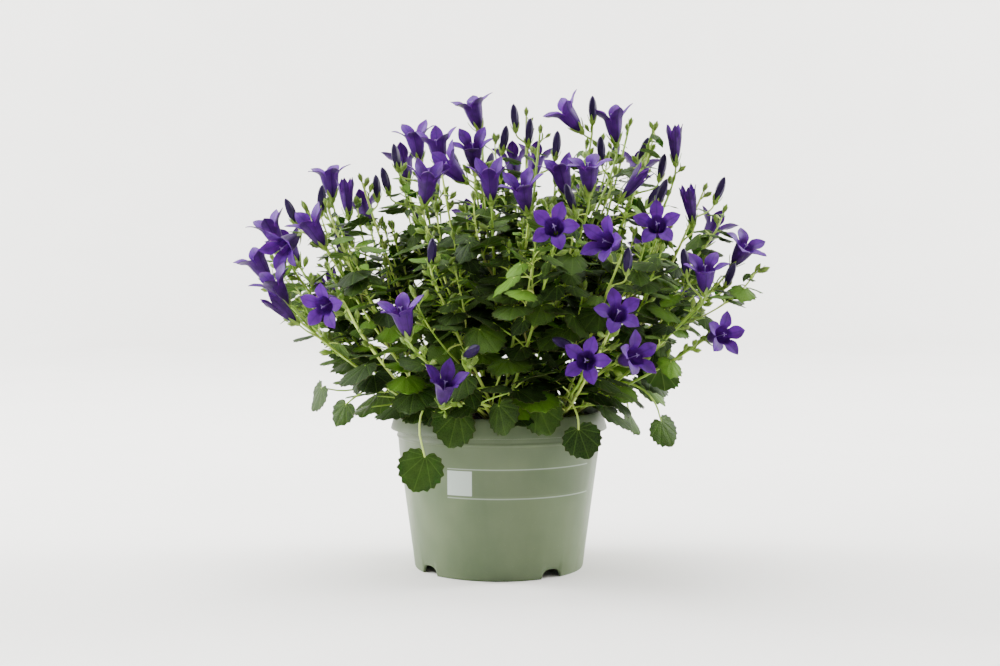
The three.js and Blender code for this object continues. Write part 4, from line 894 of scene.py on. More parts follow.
class Surface:
    """Points, faces and looks of one piece, in millimetres.

    Each point has a place (across, along, depth) for its material and a tone from 0 to 1.
    """

    def __init__(self):
        self.points, self.places, self.tones = [], [], []
        self.faces, self.looks = [], []
        self.count = 0

    def add(self, points, places, tone):
        first = self.count
        points = np.asarray(points, float).reshape(-1, 3)
        self.points.append(points)
        self.places.append(np.broadcast_to(np.asarray(places, float).reshape(-1, 3), points.shape))
        self.tones.append(np.full(len(points), tone))
        self.count += len(points)
        return first + np.arange(len(points))

    def quads(self, grid, look, wrap=False):
        """Faces between the rows and columns of a grid of point numbers."""
        if wrap:
            grid = np.column_stack([grid, grid[:, 0]])
        corners = (grid[:-1, :-1], grid[:-1, 1:], grid[1:, 1:], grid[1:, :-1])
        faces = np.stack([corner.ravel() for corner in corners], 1)
        self.faces.append(faces)
        self.looks.append(np.full(len(faces), look))

    def closed_rows(self, grid, low, high, look):
        """Rings of points round a body, closed to a point at each end."""
        ends = [np.full((1, grid.shape[1]), end) for end in (low, high)]
        self.quads(np.concatenate([ends[0], grid, ends[1]]), look, wrap=True)

    def tube(self, line, radii, sides, look, tone, along=0.0, ridges=0.0):
        """A round rod along a line of points, closed to a blunt point at both ends."""
        line = np.asarray(line, float)
        ways = np.gradient(line, axis=0)
        ways /= np.linalg.norm(ways, axis=1)[:, None]
        u = sideways(ways[0])[0]
        turns = turns_round(sides)
        shape = 1 + ridges * np.cos(3 * turns)
        spans = np.linalg.norm(np.diff(line, axis=0), axis=1)
        steps = along + np.concatenate([[0], np.cumsum(spans)])
        rings, places = [], []
        for p, way, radius, step in zip(line, ways, radii, steps):
            u = unit(u - way * dot(u, way))
            rings.append(p + ring(u, cross(way, u), turns, shape) * radius)
            places.append([(radius * a, step, 0) for a in turns])
        grid = self.add(rings, places, tone).reshape(len(line), sides)
        low = self.add(line[0] - ways[0] * radii[0] * 0.5, (0, steps[0], 0), tone)[0]
        high = self.add(line[-1] + ways[-1] * radii[-1] * 0.6, (0, steps[-1], 0), tone)[0]
        self.closed_rows(grid, low, high, look)

    def turned_body(self, foot, axis, profile, sides, look, tone, folds=0, depth=0.0, twist=0.0):
        """A closed body of revolution about an axis, with soft folds down its sides.

        The profile is (height, radius) pairs whose first and last radius is 0.
        """
        u, v = sideways(axis)
        turns = turns_round(sides)
        top = profile[-1][0]
        rows, places = [], []
        for height, radius in profile[1:-1]:
            radii = radius * (1 + depth * np.cos(folds * turns))
            rows.append(foot + axis * height + ring(u, v, turns + twist * height / top, radii))
            places.append([(radius * t, height, height / top) for t in turns])
        grid = self.add(rows, places, tone).reshape(len(rows), sides)
        low = self.add(foot + axis * profile[0][0], (0, profile[0][0], 0), tone)[0]
        high = self.add(foot + axis * top, (0, top, 1), tone)[0]
        self.closed_rows(grid, low, high, look)

    def sheet(self, middle, lift, places, tone, looks, pinched):
        """A thin closed sheet: a grid of middle points thickened both ways along a lift.

        The rows named in pinched run together to one point.
        """
        rows, columns = middle.shape[:2]
        upper = self.add(middle + lift, places, tone).reshape(rows, columns)
        lower = self.add(middle - lift, places, tone).reshape(rows, columns)
        for grid in (upper, lower):
            for row in pinched:
                grid[row] = grid[row, columns // 2]
        self.quads(upper, looks[0])
        self.quads(lower, looks[1])
        for edge in ((0,), (-1,), (slice(None), 0), (slice(None), -1)):
            self.quads(np.stack([lower[edge], upper[edge]]), looks[0])

    def mesh(self, name, looks, angle):
        """The mesh, in metres, its faces turned outward and its edges smooth below an angle."""
        faces, kept = [], []
        looks_of = np.concatenate(self.looks).tolist()
        for row, look in zip(np.concatenate(self.faces).tolist(), looks_of):
            row = list(dict.fromkeys(row))
            if len(row) > 2:
                faces.append(row)
                kept.append(look)
        mesh = bpy.data.meshes.new(name)
        mesh.from_pydata(np.concatenate(self.points) * MM, [], faces)
        for label, kind, field, values in (
            ("place", "FLOAT_VECTOR", "vector", self.places),
            ("tone", "FLOAT", "value", self.tones),
        ):
            attribute = mesh.attributes.new(label, kind, "POINT")
            attribute.data.foreach_set(field, np.concatenate(values).astype(np.float32).ravel())
        mesh.polygons.foreach_set("material_index", kept)
        for look in looks:
            mesh.materials.append(look)
        work = bmesh.new()
        work.from_mesh(mesh)
        bmesh.ops.delete(work, geom=[v for v in work.verts if not v.link_faces], context="VERTS")
        bmesh.ops.recalc_face_normals(work, faces=work.faces)
        work.to_mesh(mesh)
        work.free()
        mesh.shade_smooth()
        mesh.set_sharp_from_angle(angle=math.radians(angle))
        return mesh

    def piece(self, name, looks, nodes, slot, angle=50):
        """Adds the object to the scene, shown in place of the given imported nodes."""
        piece = bpy.data.objects.new(name, self.mesh(name, looks, angle))
        bpy.context.scene.collection.objects.link(piece)
        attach(piece, "root")
        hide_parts(*nodes)


# The looks of a plant piece, by number
STEM, LEAF, UNDERLEAF, SEPAL, BUD, PETAL, THROAT, STYLE = range(8)
# Where stalks start on the stem's scale of places, clear of the brown near the soil
STALK_PLACE = 40


def smooth_line(points, per_span):
    """Points on a smooth curve through the given ones."""
    count = (len(points) - 1) * per_span
    return [through(points, i / count) for i in range(count + 1)]


# Leaves

# Half of a leaf's outline, one unit long, across and along: rounded lobes at the stalk,
# coarse blunt teeth and a short point.
LEAF_OUTLINE = (
    (0, 0), (0.1, -0.14), (0.22, -0.2), (0.32, -0.14), (0.45, -0.13), (0.48, -0.03),
    (0.6, 0.04), (0.58, 0.15), (0.67, 0.26), (0.6, 0.36), (0.64, 0.49), (0.54, 0.55),
    (0.53, 0.69), (0.42, 0.72), (0.37, 0.85), (0.25, 0.85), (0.15, 0.95), (0, 0.96),
)
# The same for small leaves.
SMALL_OUTLINE = (
    (0, 0), (0.14, -0.16), (0.3, -0.15), (0.45, -0.06), (0.55, 0.07), (0.52, 0.17), (0.61, 0.3),
    (0.52, 0.41), (0.54, 0.56), (0.41, 0.64), (0.36, 0.78), (0.19, 0.85), (0, 0.98),
)
# The narrower blades high on a shoot.
BRACT_OUTLINE = (
    (0, 0), (0.1, 0.01), (0.19, 0.08), (0.26, 0.17), (0.24, 0.24), (0.3, 0.33), (0.26, 0.42),
    (0.28, 0.52), (0.21, 0.6), (0.2, 0.7), (0.12, 0.79), (0.08, 0.9), (0, 1),
)


@functools.cache
def leaf_grid(outline, fineness, halves):
    """Across and along of each point of a blade's grid, and how near it is to the edge."""
    outline = [vec([x, y, 0]) for x, y in outline]
    if fineness > 1:
        outline = smooth_line(outline, fineness)
    rows = len(outline)
    anchors = 0.95 * np.linspace(0, 1, rows) ** 1.15 + 0.03
    anchors[0], anchors[-1] = 0, 1
    steps = np.linspace(0, 1, halves + 1)
    edge = np.concatenate([steps[::-1], steps[1:]])
    side = np.concatenate([-steps[::-1], steps[1:]])
    across = np.array([p[0] * side for p in outline])
    along = np.array([anchor + (p[1] - anchor) * edge for p, anchor in zip(outline, anchors)])
    return across, along, np.broadcast_to(edge, across.shape)


def grow_leaf(blades, stalks, leaf, draw):
    """One leaf: a curved stalk and a toothed blade, puckered between its veins."""
    size = leaf.size * (0.9 if leaf.size > BIG_LEAF else 1)
    if size < SMALL_LEAF:
        tiny = size < TINY_LEAF
        outline, halves = BRACT_OUTLINE if tiny and leaf.t > 0.8 else SMALL_OUTLINE, 2 - tiny
    else:
        outline, halves = LEAF_OUTLINE, 3
    x, y, edge = leaf_grid(outline, 1 if size < FINE_LEAF else 2, halves)
    axis = turned(leaf.axis, leaf.normal, draw.between(-14, 14))
    up = leaf.normal
    if leaf.way is None:
        up = turned(up, axis, -40 * math.copysign(1, cross(axis, up)[1]))
    across = cross(up, axis)
    tone, phase = draw(), draw.between(0, 6.28)
    tone = tone * (0.6 if leaf.way is None else 1)
    cup, wave, twist = draw.between(0.1, 0.26), draw.between(0.008, 0.03), draw.between(-0.2, 0.2)
    # The blade folds along its middle vein, droops, twists, waves at its edge and puckers
    # between the veins, which stand in a fan.
    height = -np.sqrt((1.1 * cup * x) ** 2 + 0.0004) - leaf.droop * y * y + twist * x * y
    height += wave * edge**2 * np.sin(phase + 7.5 * np.arctan2(x, y + 0.3) + 3 * y)
    puckers = np.sin(13 * np.arctan2(np.abs(x), y + 0.08))
    height += 0.006 * puckers * np.minimum(1, 3 * edge) * (1 - edge**4)
    height -= 0.012 * (edge == 0)
    middle = leaf.base + size * (
        x[..., None] * across + y[..., None] * axis + height[..., None] * up
    )
    slope = cup * np.sign(x) * np.minimum(1, 6 * np.abs(x))
    lift = up + slope[..., None] * across + (2 * leaf.droop * y)[..., None] * axis
    lift /= np.linalg.norm(lift, axis=2)[..., None]
    thick = 0.5 * BLADE_THICKNESS * (1 - 0.45 * edge) * min(1, size / 14)
    places = np.stack([size * x, size * y, edge], 2)
    blades.sheet(middle, lift * thick[..., None], places, tone, (LEAF, UNDERLEAF), (0, -1))
    if leaf.way is None:
        return
    root = leaf.shoot.fine(leaf.t)
    reach = length(leaf.base - root)
    way = unit(leaf.base - root)
    start = unit(leaf.stem_way + way * 1.2)
    handles = (
        root,
        root + start * reach * 0.3,
        leaf.base - leaf.axis * reach * 0.12 - way * reach * 0.2 - UP * (0.06 * reach),
        leaf.base + leaf.axis * size * 0.05 - leaf.normal * 0.15,
    )
    stout = size > STOUT_LEAF
    steps = 9 if reach > LONG_STALK else 6 if stout else 4
    thin = min(STALK_RADIUS, 0.24 + 0.012 * size)
    radii = np.linspace(thin * 1.15, thin * 0.8, steps + 1)
    radii[0] *= 1.35
    line = curve(handles, steps)
    stalks.tube(line, radii, 6 if stout else 5, STEM, tone, along=STALK_PLACE)


# Flowers

# Heights and radii of the bell, as shares of its length and its throat
TUBE_SHAPE = (
    (0, 0.24), (0.06, 0.34), (0.14, 0.46), (0.25, 0.59), (0.38, 0.7), (0.55, 0.81), (0.75, 0.91),
    (1, 1),
)
# Places and half widths along a lobe, as shares of its length and its half width
LOBE_SHAPE = (
    (0.1, 0.9), (0.2, 0.98), (0.32, 1.04), (0.45, 1.03), (0.58, 0.93), (0.7, 0.75), (0.81, 0.52),
    (0.91, 0.26), (1, 0),
)
PETALS = SEPALS = 5
PETAL_COLUMNS = 7
# Heights and radii of the green cup below a flower, and how far out its sepals start
CUP_SHAPE = (
    (-0.4, 0), (0, 0.42), (0.6, 1), (1.3, 1.55), (2.2, 1.9), (3, 1.9), (3.6, 1.5), (3.9, 0.9),
    (4, 0),
)
SEPAL_FOOT = (1.75, 3)
# The same for a green bud, a furled flower and a crown
BUD_SHAPE = ((1.2, 0), (1.6, 0.9), (2.7, 1.35), (4, 1.3), (5.2, 0.8), (6, 0.3), (6.3, 0))
FURLED_SHAPE = (
    (2.2, 0), (2.4, 1), (4, 1.6), (6.5, 2.1), (9, 2.3), (11.5, 2.15), (13.5, 1.75), (15, 1.2),
    (16, 0.6), (16.5, 0),
)
CROWN_SHAPE = (
    (0, 0), (0.3, 3.6), (3, 5.2), (6, 6.3), (8.5, 6.9), (10.2, 6.2), (11.6, 4.6), (12.6, 2.4),
    (13, 0),
)
# Heights and half widths of a bract
BRACT_SHAPE = ((0, 0.1), (0.35, 0.18), (0.7, 0.13), (1, 0))


def scaled(profile, size):
    return [(height * size, radius * size) for height, radius in profile]


def grow_corolla(surface, flower, sizes, draw):
    """A bell that widens to its throat and parts into five keeled lobes with pointed tips."""
    throat, tube, lobe, half, lean, curl = sizes
    base, axis = flower.base, flower.axis
    u, v = sideways(axis)
    # A sector's middle stands out as a keel, and its sides sink to a crease where sectors meet.
    share = np.linspace(-1, 1, PETAL_COLUMNS)
    half_turn = math.pi / PETALS
    delta = share * math.pi / PETALS
    ridge = 0.5 * LOBE_KEEL * (1 - np.abs(share)) ** 1.5
    crease = -0.25 * np.exp(-(((1 - np.abs(share)) * 5) ** 2))
    count = len(TUBE_SHAPE)
    middle, lift, places = [], [], []

    def put(a, side, radius, height, tilt, place):
        """One row of a sector: side across it, radius and height square to that."""
        away, beside = spoke(u, v, a)
        points = base + np.outer(radius, away) + np.outer(side, beside)
        middle.append(points + np.outer(height, axis))
        turns = np.arctan2(side, radius) if tilt is None else delta * max(0, 1 - 1.5 * place)
        lean_now = 0.25 if tilt is None else tilt
        out = np.outer(np.cos(turns), away) + np.outer(np.sin(turns), beside)
        lift.append((out * math.cos(lean_now) - axis * math.sin(lean_now)) * PETAL_THICKNESS / 2)

    for sector in range(PETALS):
        a = flower.turn + 2 * math.pi * sector / PETALS
        for h, r in TUBE_SHAPE:
            radius, height = throat * r + h * (ridge + crease), np.full(PETAL_COLUMNS, tube * h)
            put(a, radius * np.sin(delta), radius * np.cos(delta), height, None, 0)
            places.append(np.stack([radius * delta, height, np.abs(share)], 1))
        end_lean, end_curl = lean + draw.between(-0.1, 0.1), curl + draw.between(-0.15, 0.25)
        wave, phase = draw.between(0.2, 0.6), draw.between(0, 6.28)
        radius, height, before = throat, tube, 0
        for place, wide in LOBE_SHAPE:
            middle_place = (place + before) / 2
            tilt = 0.2 + (end_lean - 0.2) * min(1, 3.2 * middle_place)
            tilt += (end_curl - end_lean) * 2.2 * max(0, middle_place - 0.35)
            radius += (place - before) * lobe * math.sin(tilt)
            height += (place - before) * lobe * math.cos(tilt)
            before = place
            grown = min(1, place / 0.3)
            width = throat * math.sin(half_turn) * (1 - grown) + half * grown
            side = width * wide * np.sin(delta) / math.sin(half_turn)
            cup = throat * (1 - np.cos(delta)) * max(0.3, 1 - 1.6 * place) * (1 - place)
            out = ridge * math.sqrt(1 - place) - cup + crease * max(0, 1 - 6 * place)
            ripple = wave * np.sin(phase + 9 * place + 2.2 * np.sign(share))
            out = out + ripple * share**2 * (1 - place) * min(1, 3 * place)
            put(a, side, radius + out * math.cos(tilt), height - out * math.sin(tilt), tilt, place)
            reach = np.full(PETAL_COLUMNS, tube + lobe * place)
            places.append(np.stack([side, reach, np.abs(share)], 1))
    shape = (PETALS, count + len(LOBE_SHAPE), PETAL_COLUMNS)
    middle, lift, tone = np.concatenate(middle), np.concatenate(lift), draw()
    grids = []
    for sheet in (middle + lift, middle - lift):
        grid = surface.add(sheet, np.concatenate(places), tone).reshape(shape)
        grid[:, :count, -1] = np.roll(grid[:, :count, 0], -1, 0)
        grid[:, -1] = grid[:, -1, PETAL_COLUMNS // 2, None]
        grids.append(grid)
    for outer, inner in zip(*grids):
        surface.quads(outer, PETAL)
        surface.quads(inner, THROAT)
        for edge in (0, (slice(count - 1, None), 0), (slice(count - 1, None), -1)):
            surface.quads(np.stack([outer[edge], inner[edge]]), PETAL)


def grow_style(surface, base, axis, top, tone):
    """The pale style in the bell, parted at its end into three curled arms."""
    line = [base + axis * h for h in np.linspace(1.5, top, 6)]
    surface.tube(line, [0.5, 0.34, 0.27, 0.27, 0.3, 0.34], 7, STYLE, tone)
    for k in range(3):
        side = spoke(*sideways(axis), 2 * math.pi * k / 3)[0]
        bends = ((0, -0.2), (0.45, 0.6), (0.95, 0.7), (1.25, 0.3))
        arm = smooth_line([line[-1] + side * r + axis * h for r, h in bends], 2)
        surface.tube(arm, np.linspace(0.27, 0.16, 7), 6, STYLE, tone)


def grow_calyx(surface, foot, axis, size, reach, rows, draw):
    """A ribbed green cup with five pointed sepals; size 1 fits an open flower.

    The reach is the sepals' length, how far out their points end and how high. With three rows
    or fewer the cup is drawn plainer, for a small bud.
    """
    tone, full = draw(), rows > 3
    profile = scaled(CUP_SHAPE if full else CUP_SHAPE[::2], size)
    sides, depth = (10, 0.1) if full else (7, 0)
    surface.turned_body(foot, axis, profile, sides, SEPAL, tone, folds=5, depth=depth)
    u, v = sideways(axis)
    turn = draw.between(0, 1.25)
    long, out_reach, rise = reach
    out, low = (part * size for part in SEPAL_FOOT)
    steps = np.linspace(0, 1, rows)
    sides = (-1, 0, 1) if full else (-1, 1)
    for k in range(SEPALS):
        away, beside = spoke(u, v, turn + 2 * math.pi * k / SEPALS)
        bow = draw.between(0.7, 1.3)
        radial = out + (out_reach - out) * steps ** (0.9 * bow)
        height = low + (rise - low) * steps
        wide = 0.95 * size * (1 - steps) ** 0.75 * (1 + 0.7 * steps) + 0.02
        middle = np.array([
            [foot + away * (r + 0.16 * size * abs(s)) + axis * h + beside * (w * s) for s in sides]
            for r, h, w in zip(radial, height, wide)
        ])
        slope = math.atan2(out_reach - out, rise - low)
        thick = (away * math.cos(slope) - axis * math.sin(slope)) * 0.16 * size
        lift = np.broadcast_to(thick, middle.shape)
        places = [[(w * s, long * p, abs(s)) for s in sides] for w, p in zip(wide, steps)]
        surface.sheet(middle, lift, np.array(places), tone, (SEPAL, SEPAL), (-1,))


def grow_green_bud(surface, foot, axis, size, draw):
    """A small closed bud: an egg of folded petals in its cup, its sepals laid along it."""
    surface.turned_body(foot, axis, scaled(BUD_SHAPE, size), 8, SEPAL, draw())
    reach = (3 * size, 1.5 * size, draw.between(4, 5.2) * size)
    grow_calyx(surface, foot, axis, 0.55 * size, reach, 3, draw)


def grow_bract(surface, root, way, out, size, tone):
    """A narrow green scale that stands below a bud."""
    beside = unit(cross(way, out))
    middle, places = [], []
    for h, w in BRACT_SHAPE:
        bow = [0.55 * h - 0.5 * h * h + 0.06 * abs(s) for s in (-1, 0, 1)]
        middle.append([
            root + (way * h + out * b + beside * (w * s)) * size for b, s in zip(bow, (-1, 0, 1))
        ])
        places.append([(w * s * size, h * size, h) for s in (-1, 0, 1)])
    middle, places = np.array(middle), np.array(places)
    lift = np.broadcast_to(out * 0.13, middle.shape)
    surface.sheet(middle, lift, places, tone, (SEPAL, SEPAL), (-1,))


def grow_closed_flower(surface, foot, axis, draw):
    """A dark furled bud: five pleats drawn together to a blunt twisted point."""
    surface.turned_body(foot, axis, FURLED_SHAPE, 20, BUD, draw(), folds=5, depth=0.1, twist=0.7)
    grow_calyx(surface, foot, axis, 0.85, (5, 2.8, 6.2), 4, draw)


def corolla_sizes(opening):
    """Throat, bell length, lobe length, lobe half width, lean and end lean of a flower."""
    lean = radians(12 + 58 * opening)
    wide = THROAT_RADIUS * (0.8 + 0.25 * opening)
    throat = wide * (1 - 0.12 * opening**2)
    lobe = LOBE_LENGTH * (1 - 0.24 * opening**2)
    return throat, TUBE_LENGTH, lobe, LOBE_HALF_WIDTH, lean, lean + radians(16)


def grow_head(surface, flower, draw):
    """What a flower has below its corolla; the whole of it while it is still a bud."""
    if flower.wide:
        grow_calyx(surface, flower.foot, flower.axis, 1, (5.5, 4.9, 8.6), 5, draw)
    elif flower.opening > FURLED_BELOW:
        grow_calyx(surface, flower.foot, flower.axis, 0.9, (5.5, 3.4, 8), 5, draw)
        sizes = (3.3, 11.5, 8.8, 1.95, 0.06, 0.02 + 0.9 * flower.opening)
        grow_corolla(surface, flower, sizes, draw)
    else:
        grow_closed_flower(surface, flower.foot, flower.axis, draw)


def stalk_line(root, stem_way, end, end_way, steps):
    """A stalk that leaves its stem upward and arrives along a given way."""
    reach = length(end - root)
    start = unit(stem_way + unit(end - root))
    leave, arrive = root + start * reach * 0.35, end - end_way * reach * 0.35
    return curve((root, leave, arrive, end + end_way * 0.3), steps)


def grow_shoot(shoot, stems, leaves, buds, draw):
    """A shoot's stem with everything it carries."""
    tone, main = draw(), shoot.thickness == 1
    steps = max(15, int(shoot.length / 4))
    joints = [t for t, _ in shoot.branches]
    line, radii = [], []
    for i in range(steps + 1):
        t = i / steps
        swelling = sum(math.exp(-(((t - joint) * shoot.length / 1.3) ** 2)) for joint in joints)
        line.append(shoot.fine(t))
        radii.append((0.98 - 0.46 * t + 0.14 * min(swelling, 1.5)) * shoot.thickness)
    if main:
        line[0] = line[0] + (line[0] - line[1]) * 0.8
        radii[0] = 1.25
    if shoot.end_leaf > 0:
        radii = [r * 0.85 for r in radii]
    stems.tube(line, radii, 8 if main else 6, STEM, tone, ridges=0.07 * main)
    if shoot.last:
        grow_head(buds, shoot.last, draw)
    elif shoot.end_leaf == 0:
        grow_green_bud(buds, shoot.tip, shoot.way(0.97), 0.9, draw)
    for t, flower in shoot.stalked:
        root, way = shoot.fine(t), shoot.way(t)
        stalk = stalk_line(root, way, flower.foot, flower.axis, 8)
        stems.tube(stalk, np.linspace(0.62, 0.45, 9), 7, STEM, tone, along=STALK_PLACE)
        grow_head(buds, flower, draw)
    for t, end, way, size in shoot.green_buds:
        root, stem_way = shoot.fine(t), shoot.way(t)
        stalk = stalk_line(root, stem_way, end, way, 3)
        stems.tube(stalk, np.linspace(0.45, 0.32, 4), 5, STEM, tone, along=STALK_PLACE)
        grow_green_bud(buds, end, way, size, draw)
        out = unit(way - stem_way * dot(way, stem_way))
        grow_bract(buds, root + out * 0.3, stem_way, out, draw.between(4, 7.5), draw())
    for leaf in shoot.leaves:
        grow_leaf(leaves, stems, leaf, draw)


def grow_crown(surface, clump, draw):
    """The low woody knot that a clump's shoots rise from, sunk in the soil."""
    foot = vec([clump.centre[0], clump.centre[1], CROWN_HEIGHT - CROWN_DEPTH])
    surface.turned_body(foot, UP, CROWN_SHAPE, 28, STEM, draw(), folds=7, depth=0.09, twist=0.5)


# Pot and soil

# How far the pot's corners are rounded
POT_ROUNDING = 0.45
# The soil's clearance from the pot, and how far out its crumbs lie
SOIL_GAP = 0.35
CRUMB_REACH = 53
# The tone of a piece that has only one
PLAIN_TONE = 0.5


def wall_radius(z):
    """Inner radius of the pot at a height."""
    slope = (BODY_TOP_RADIUS - FOOT_RADIUS - 0.4) / (RING_HEIGHT - FLOOR_HEIGHT - 4)
    return FOOT_RADIUS - WALL + 0.4 + slope * (z - FLOOR_HEIGHT - 4)


def rounded(points, radius, steps):
    """A line of (radius, height) points with its marked corners rounded."""
    line = []
    for k, (r, z, soft) in enumerate(points):
        here = np.array([r, z])
        if not soft:
            line.append(here)
            continue
        ways = [np.array(points[n][:2]) - here for n in (k - 1, k + 1)]
        reaches = [np.linalg.norm(way) for way in ways]
        cut = min(radius * soft, reaches[0] / 2, reaches[1] / 2)
        start, end = (here + way / reach * cut for way, reach in zip(ways, reaches))
        for i in range(steps + 1):
            t = i / steps
            line.append(start * (1 - t) ** 2 + here * 2 * t * (1 - t) + end * t * t)
    return line


def pot_profile():
    """The pot's profile: under the floor, out and up the wall, over the rim and down inside.

    A point has a radius, a height and how far its corner is rounded.
    """
    foot, neck, rim, skirt = FOOT_RADIUS, BODY_TOP_RADIUS, RIM_RADIUS, SKIRT_RADIUS
    floor, bead, hem, top = FLOOR_HEIGHT + WALL, RING_HEIGHT, SKIRT_BOTTOM_HEIGHT, POT_HEIGHT
    body = [(foot + (neck - foot) * k / 9, 1 + (bead - 1.6) * k / 9, 0) for k in range(1, 9)]
    inside = [(wall_radius(z), z, 0) for z in (62, 50, 38, 26, 14)]
    return [
        (44.2, FLOOR_HEIGHT, 0), (45.1, FLOOR_HEIGHT, 1), (45.3, 0, 1), (foot - 0.2, 0, 1),
        (foot + 0.1, 1.2, 0), *body,
        (neck - 0.4, bead - 0.5, 1), (neck + 0.35, bead + 0.1, 1.2), (neck + 0.3, bead + 1, 1.2),
        (neck - 0.1, bead + 1.6, 1),
        (rim - 0.9, top - 3.5, 1), (skirt - WALL, hem, 1), (skirt, hem, 1),
        (skirt - 0.5, hem + 2, 0), (skirt - 1.4, hem + 5, 0),
        (rim + 0.2, top - 1.3, 1.6), (rim - 0.7, top, 1.6), (rim - 1.5, top - 0.5, 1.2),
        (neck - WALL, bead, 0), *inside,
        (foot - WALL + 0.4, FLOOR_HEIGHT + 4, 2), (foot - 4, floor, 2), (30, floor, 0),
    ]


def build_pot(settings):
    """The pot: a thin tapered wall, a bead below the flared skirt, a foot ring with notches."""
    profile = rounded(pot_profile(), POT_ROUNDING, 2)
    sides = settings.segments
    turns = turns_round(sides)
    notch = np.zeros(sides)
    for k in range(NOTCH_COUNT):
        middle = radians(NOTCH_START + 360 * k / NOTCH_COUNT)
        off = np.abs((turns - middle + math.pi) % (2 * math.pi) - math.pi) * FOOT_RADIUS
        notch += NOTCH_HEIGHT * np.sqrt(np.maximum(0, 1 - (off / (NOTCH_WIDTH / 2)) ** 2.6))
    rows, places = [], []
    for r, z in profile:
        high = z + notch * max(0, 1 - z / NOTCH_HEIGHT)
        rows.append(np.column_stack([r * np.cos(turns), r * np.sin(turns), high]))
        places.append(np.column_stack([r * turns, high, np.full(sides, r)]))
    surface = Surface()
    grid = surface.add(rows, places, PLAIN_TONE).reshape(len(rows), sides)
    floor = (FLOOR_HEIGHT, FLOOR_HEIGHT + WALL)
    low, high = (surface.add([0, 0, z], [0, 0, 0], PLAIN_TONE)[0] for z in floor)
    surface.closed_rows(grid, low, high, 0)
    looks = [moulded_polypropylene(settings.colour, settings.colour_dark)]
    surface.piece("nursery_pot", looks, ["pot"], "pot", angle=40)


def soil_height(x, y):
    """The crumbly top of the soil, a little higher in the middle."""
    p = Vector((x, y, 0))
    rough = 1.5 * noise.noise(p * 0.09) + 0.9 * noise.noise(p * 0.27) + 0.6 * noise.noise(p * 0.7)
    return SOIL_LEVEL + rough + 2 * (1 - math.hypot(x, y) / SOIL_RADIUS)


def build_soil(settings):
    """The soil: a rough plug that fills the pot, with loose crumbs and bark on top."""
    surface = Surface()
    sides = 120
    turns = turns_round(sides)
    bottom = FLOOR_HEIGHT + WALL + SOIL_GAP
    rows = [[(r * math.cos(a), r * math.sin(a), z) for a in turns] for r, z in (
        (40, bottom), (wall_radius(10) - 0.6, 10.4), (wall_radius(50) - 0.5, 50),
        (wall_radius(76) - 0.4, 76),
    )]
    for r in np.linspace(SOIL_RADIUS, 1.5, 38):
        row = [(r * math.cos(a), r * math.sin(a)) for a in turns]
        rows.append([(x, y, soil_height(x, y)) for x, y in row])
    grid = surface.add(rows, [0, 0, 0], PLAIN_TONE).reshape(len(rows), sides)
    low, high = (
        surface.add([0, 0, z], [0, 0, 0], PLAIN_TONE)[0] for z in (bottom, soil_height(0, 0))
    )
    surface.closed_rows(grid, low, high, 0)
    draw = Draws(SOIL_SEED)
    for _ in range(settings.crumbs):
        reach, a = CRUMB_REACH * math.sqrt(draw()), draw.between(0, 2 * math.pi)
        size = draw.between(0.5, 1.3) if draw() < 0.8 else draw.between(1.4, 2.4)
        reach = min(reach, CRUMB_REACH + 0.5 - size)
        x, y = reach * math.cos(a), reach * math.sin(a)
        foot = vec([x, y, soil_height(x, y) - 0.9 * size])
        way = unit(vec([draw() - 0.5, draw() - 0.5, 0.9]))
        tall = draw.between(1.3, 2)
        waist, neck = draw.between(0.8, 1.15), draw.between(0.5, 0.9)
        profile = scaled([(0, 0), (0.35, 0.75), (0.9, waist), (1.4, neck), (tall, 0)], size)
        tone, folds = draw(), draw.between(1.4, 3.2)
        surface.turned_body(foot, way, profile, 7, 0, tone, folds=folds, depth=0.3)
    surface.piece("potting_soil", [peat_and_bark(settings.soil)], ["soil"], "soil", angle=30)


# Materials

SMOOTH = {"interpolation_type": "SMOOTHSTEP"}
# How light spreads under green skin and under a petal's, with shares for red, green and blue
LEAF_GLOW = {"Subsurface Scale": 0.001, "Subsurface Radius": (0.35, 1.0, 0.15)}
PETAL_GLOW = {
    "Specular IOR Level": 0.12, "Subsurface Weight": 0.2, "Subsurface Scale": 0.0015,
    "Subsurface Radius": (0.9, 0.2, 1.0),
}


def linear(colour):
    """The linear colour of an sRGB hex value such as 8a9a78."""
    parts = [int(colour[k:k + 2], 16) / 255 for k in (0, 2, 4)]
    return (*[c / 12.92 if c <= 0.04045 else ((c + 0.055) / 1.055) ** 2.4 for c in parts], 1.0)


def node(tree, kind, inputs=(), output=0, **settings):
    """Adds a node with its settings and its inputs, values or links, and gives an output."""
    made = tree.nodes.new("ShaderNode" + kind)
    for name, value in settings.items():
        setattr(made, name, value)
    for key, value in inputs.items() if isinstance(inputs, dict) else enumerate(inputs):
        if isinstance(value, bpy.types.NodeSocket):
            tree.links.new(value, made.inputs[key])
        elif value is not None:
            made.inputs[key].default_value = value
    return made.outputs if output is None else made.outputs[output]


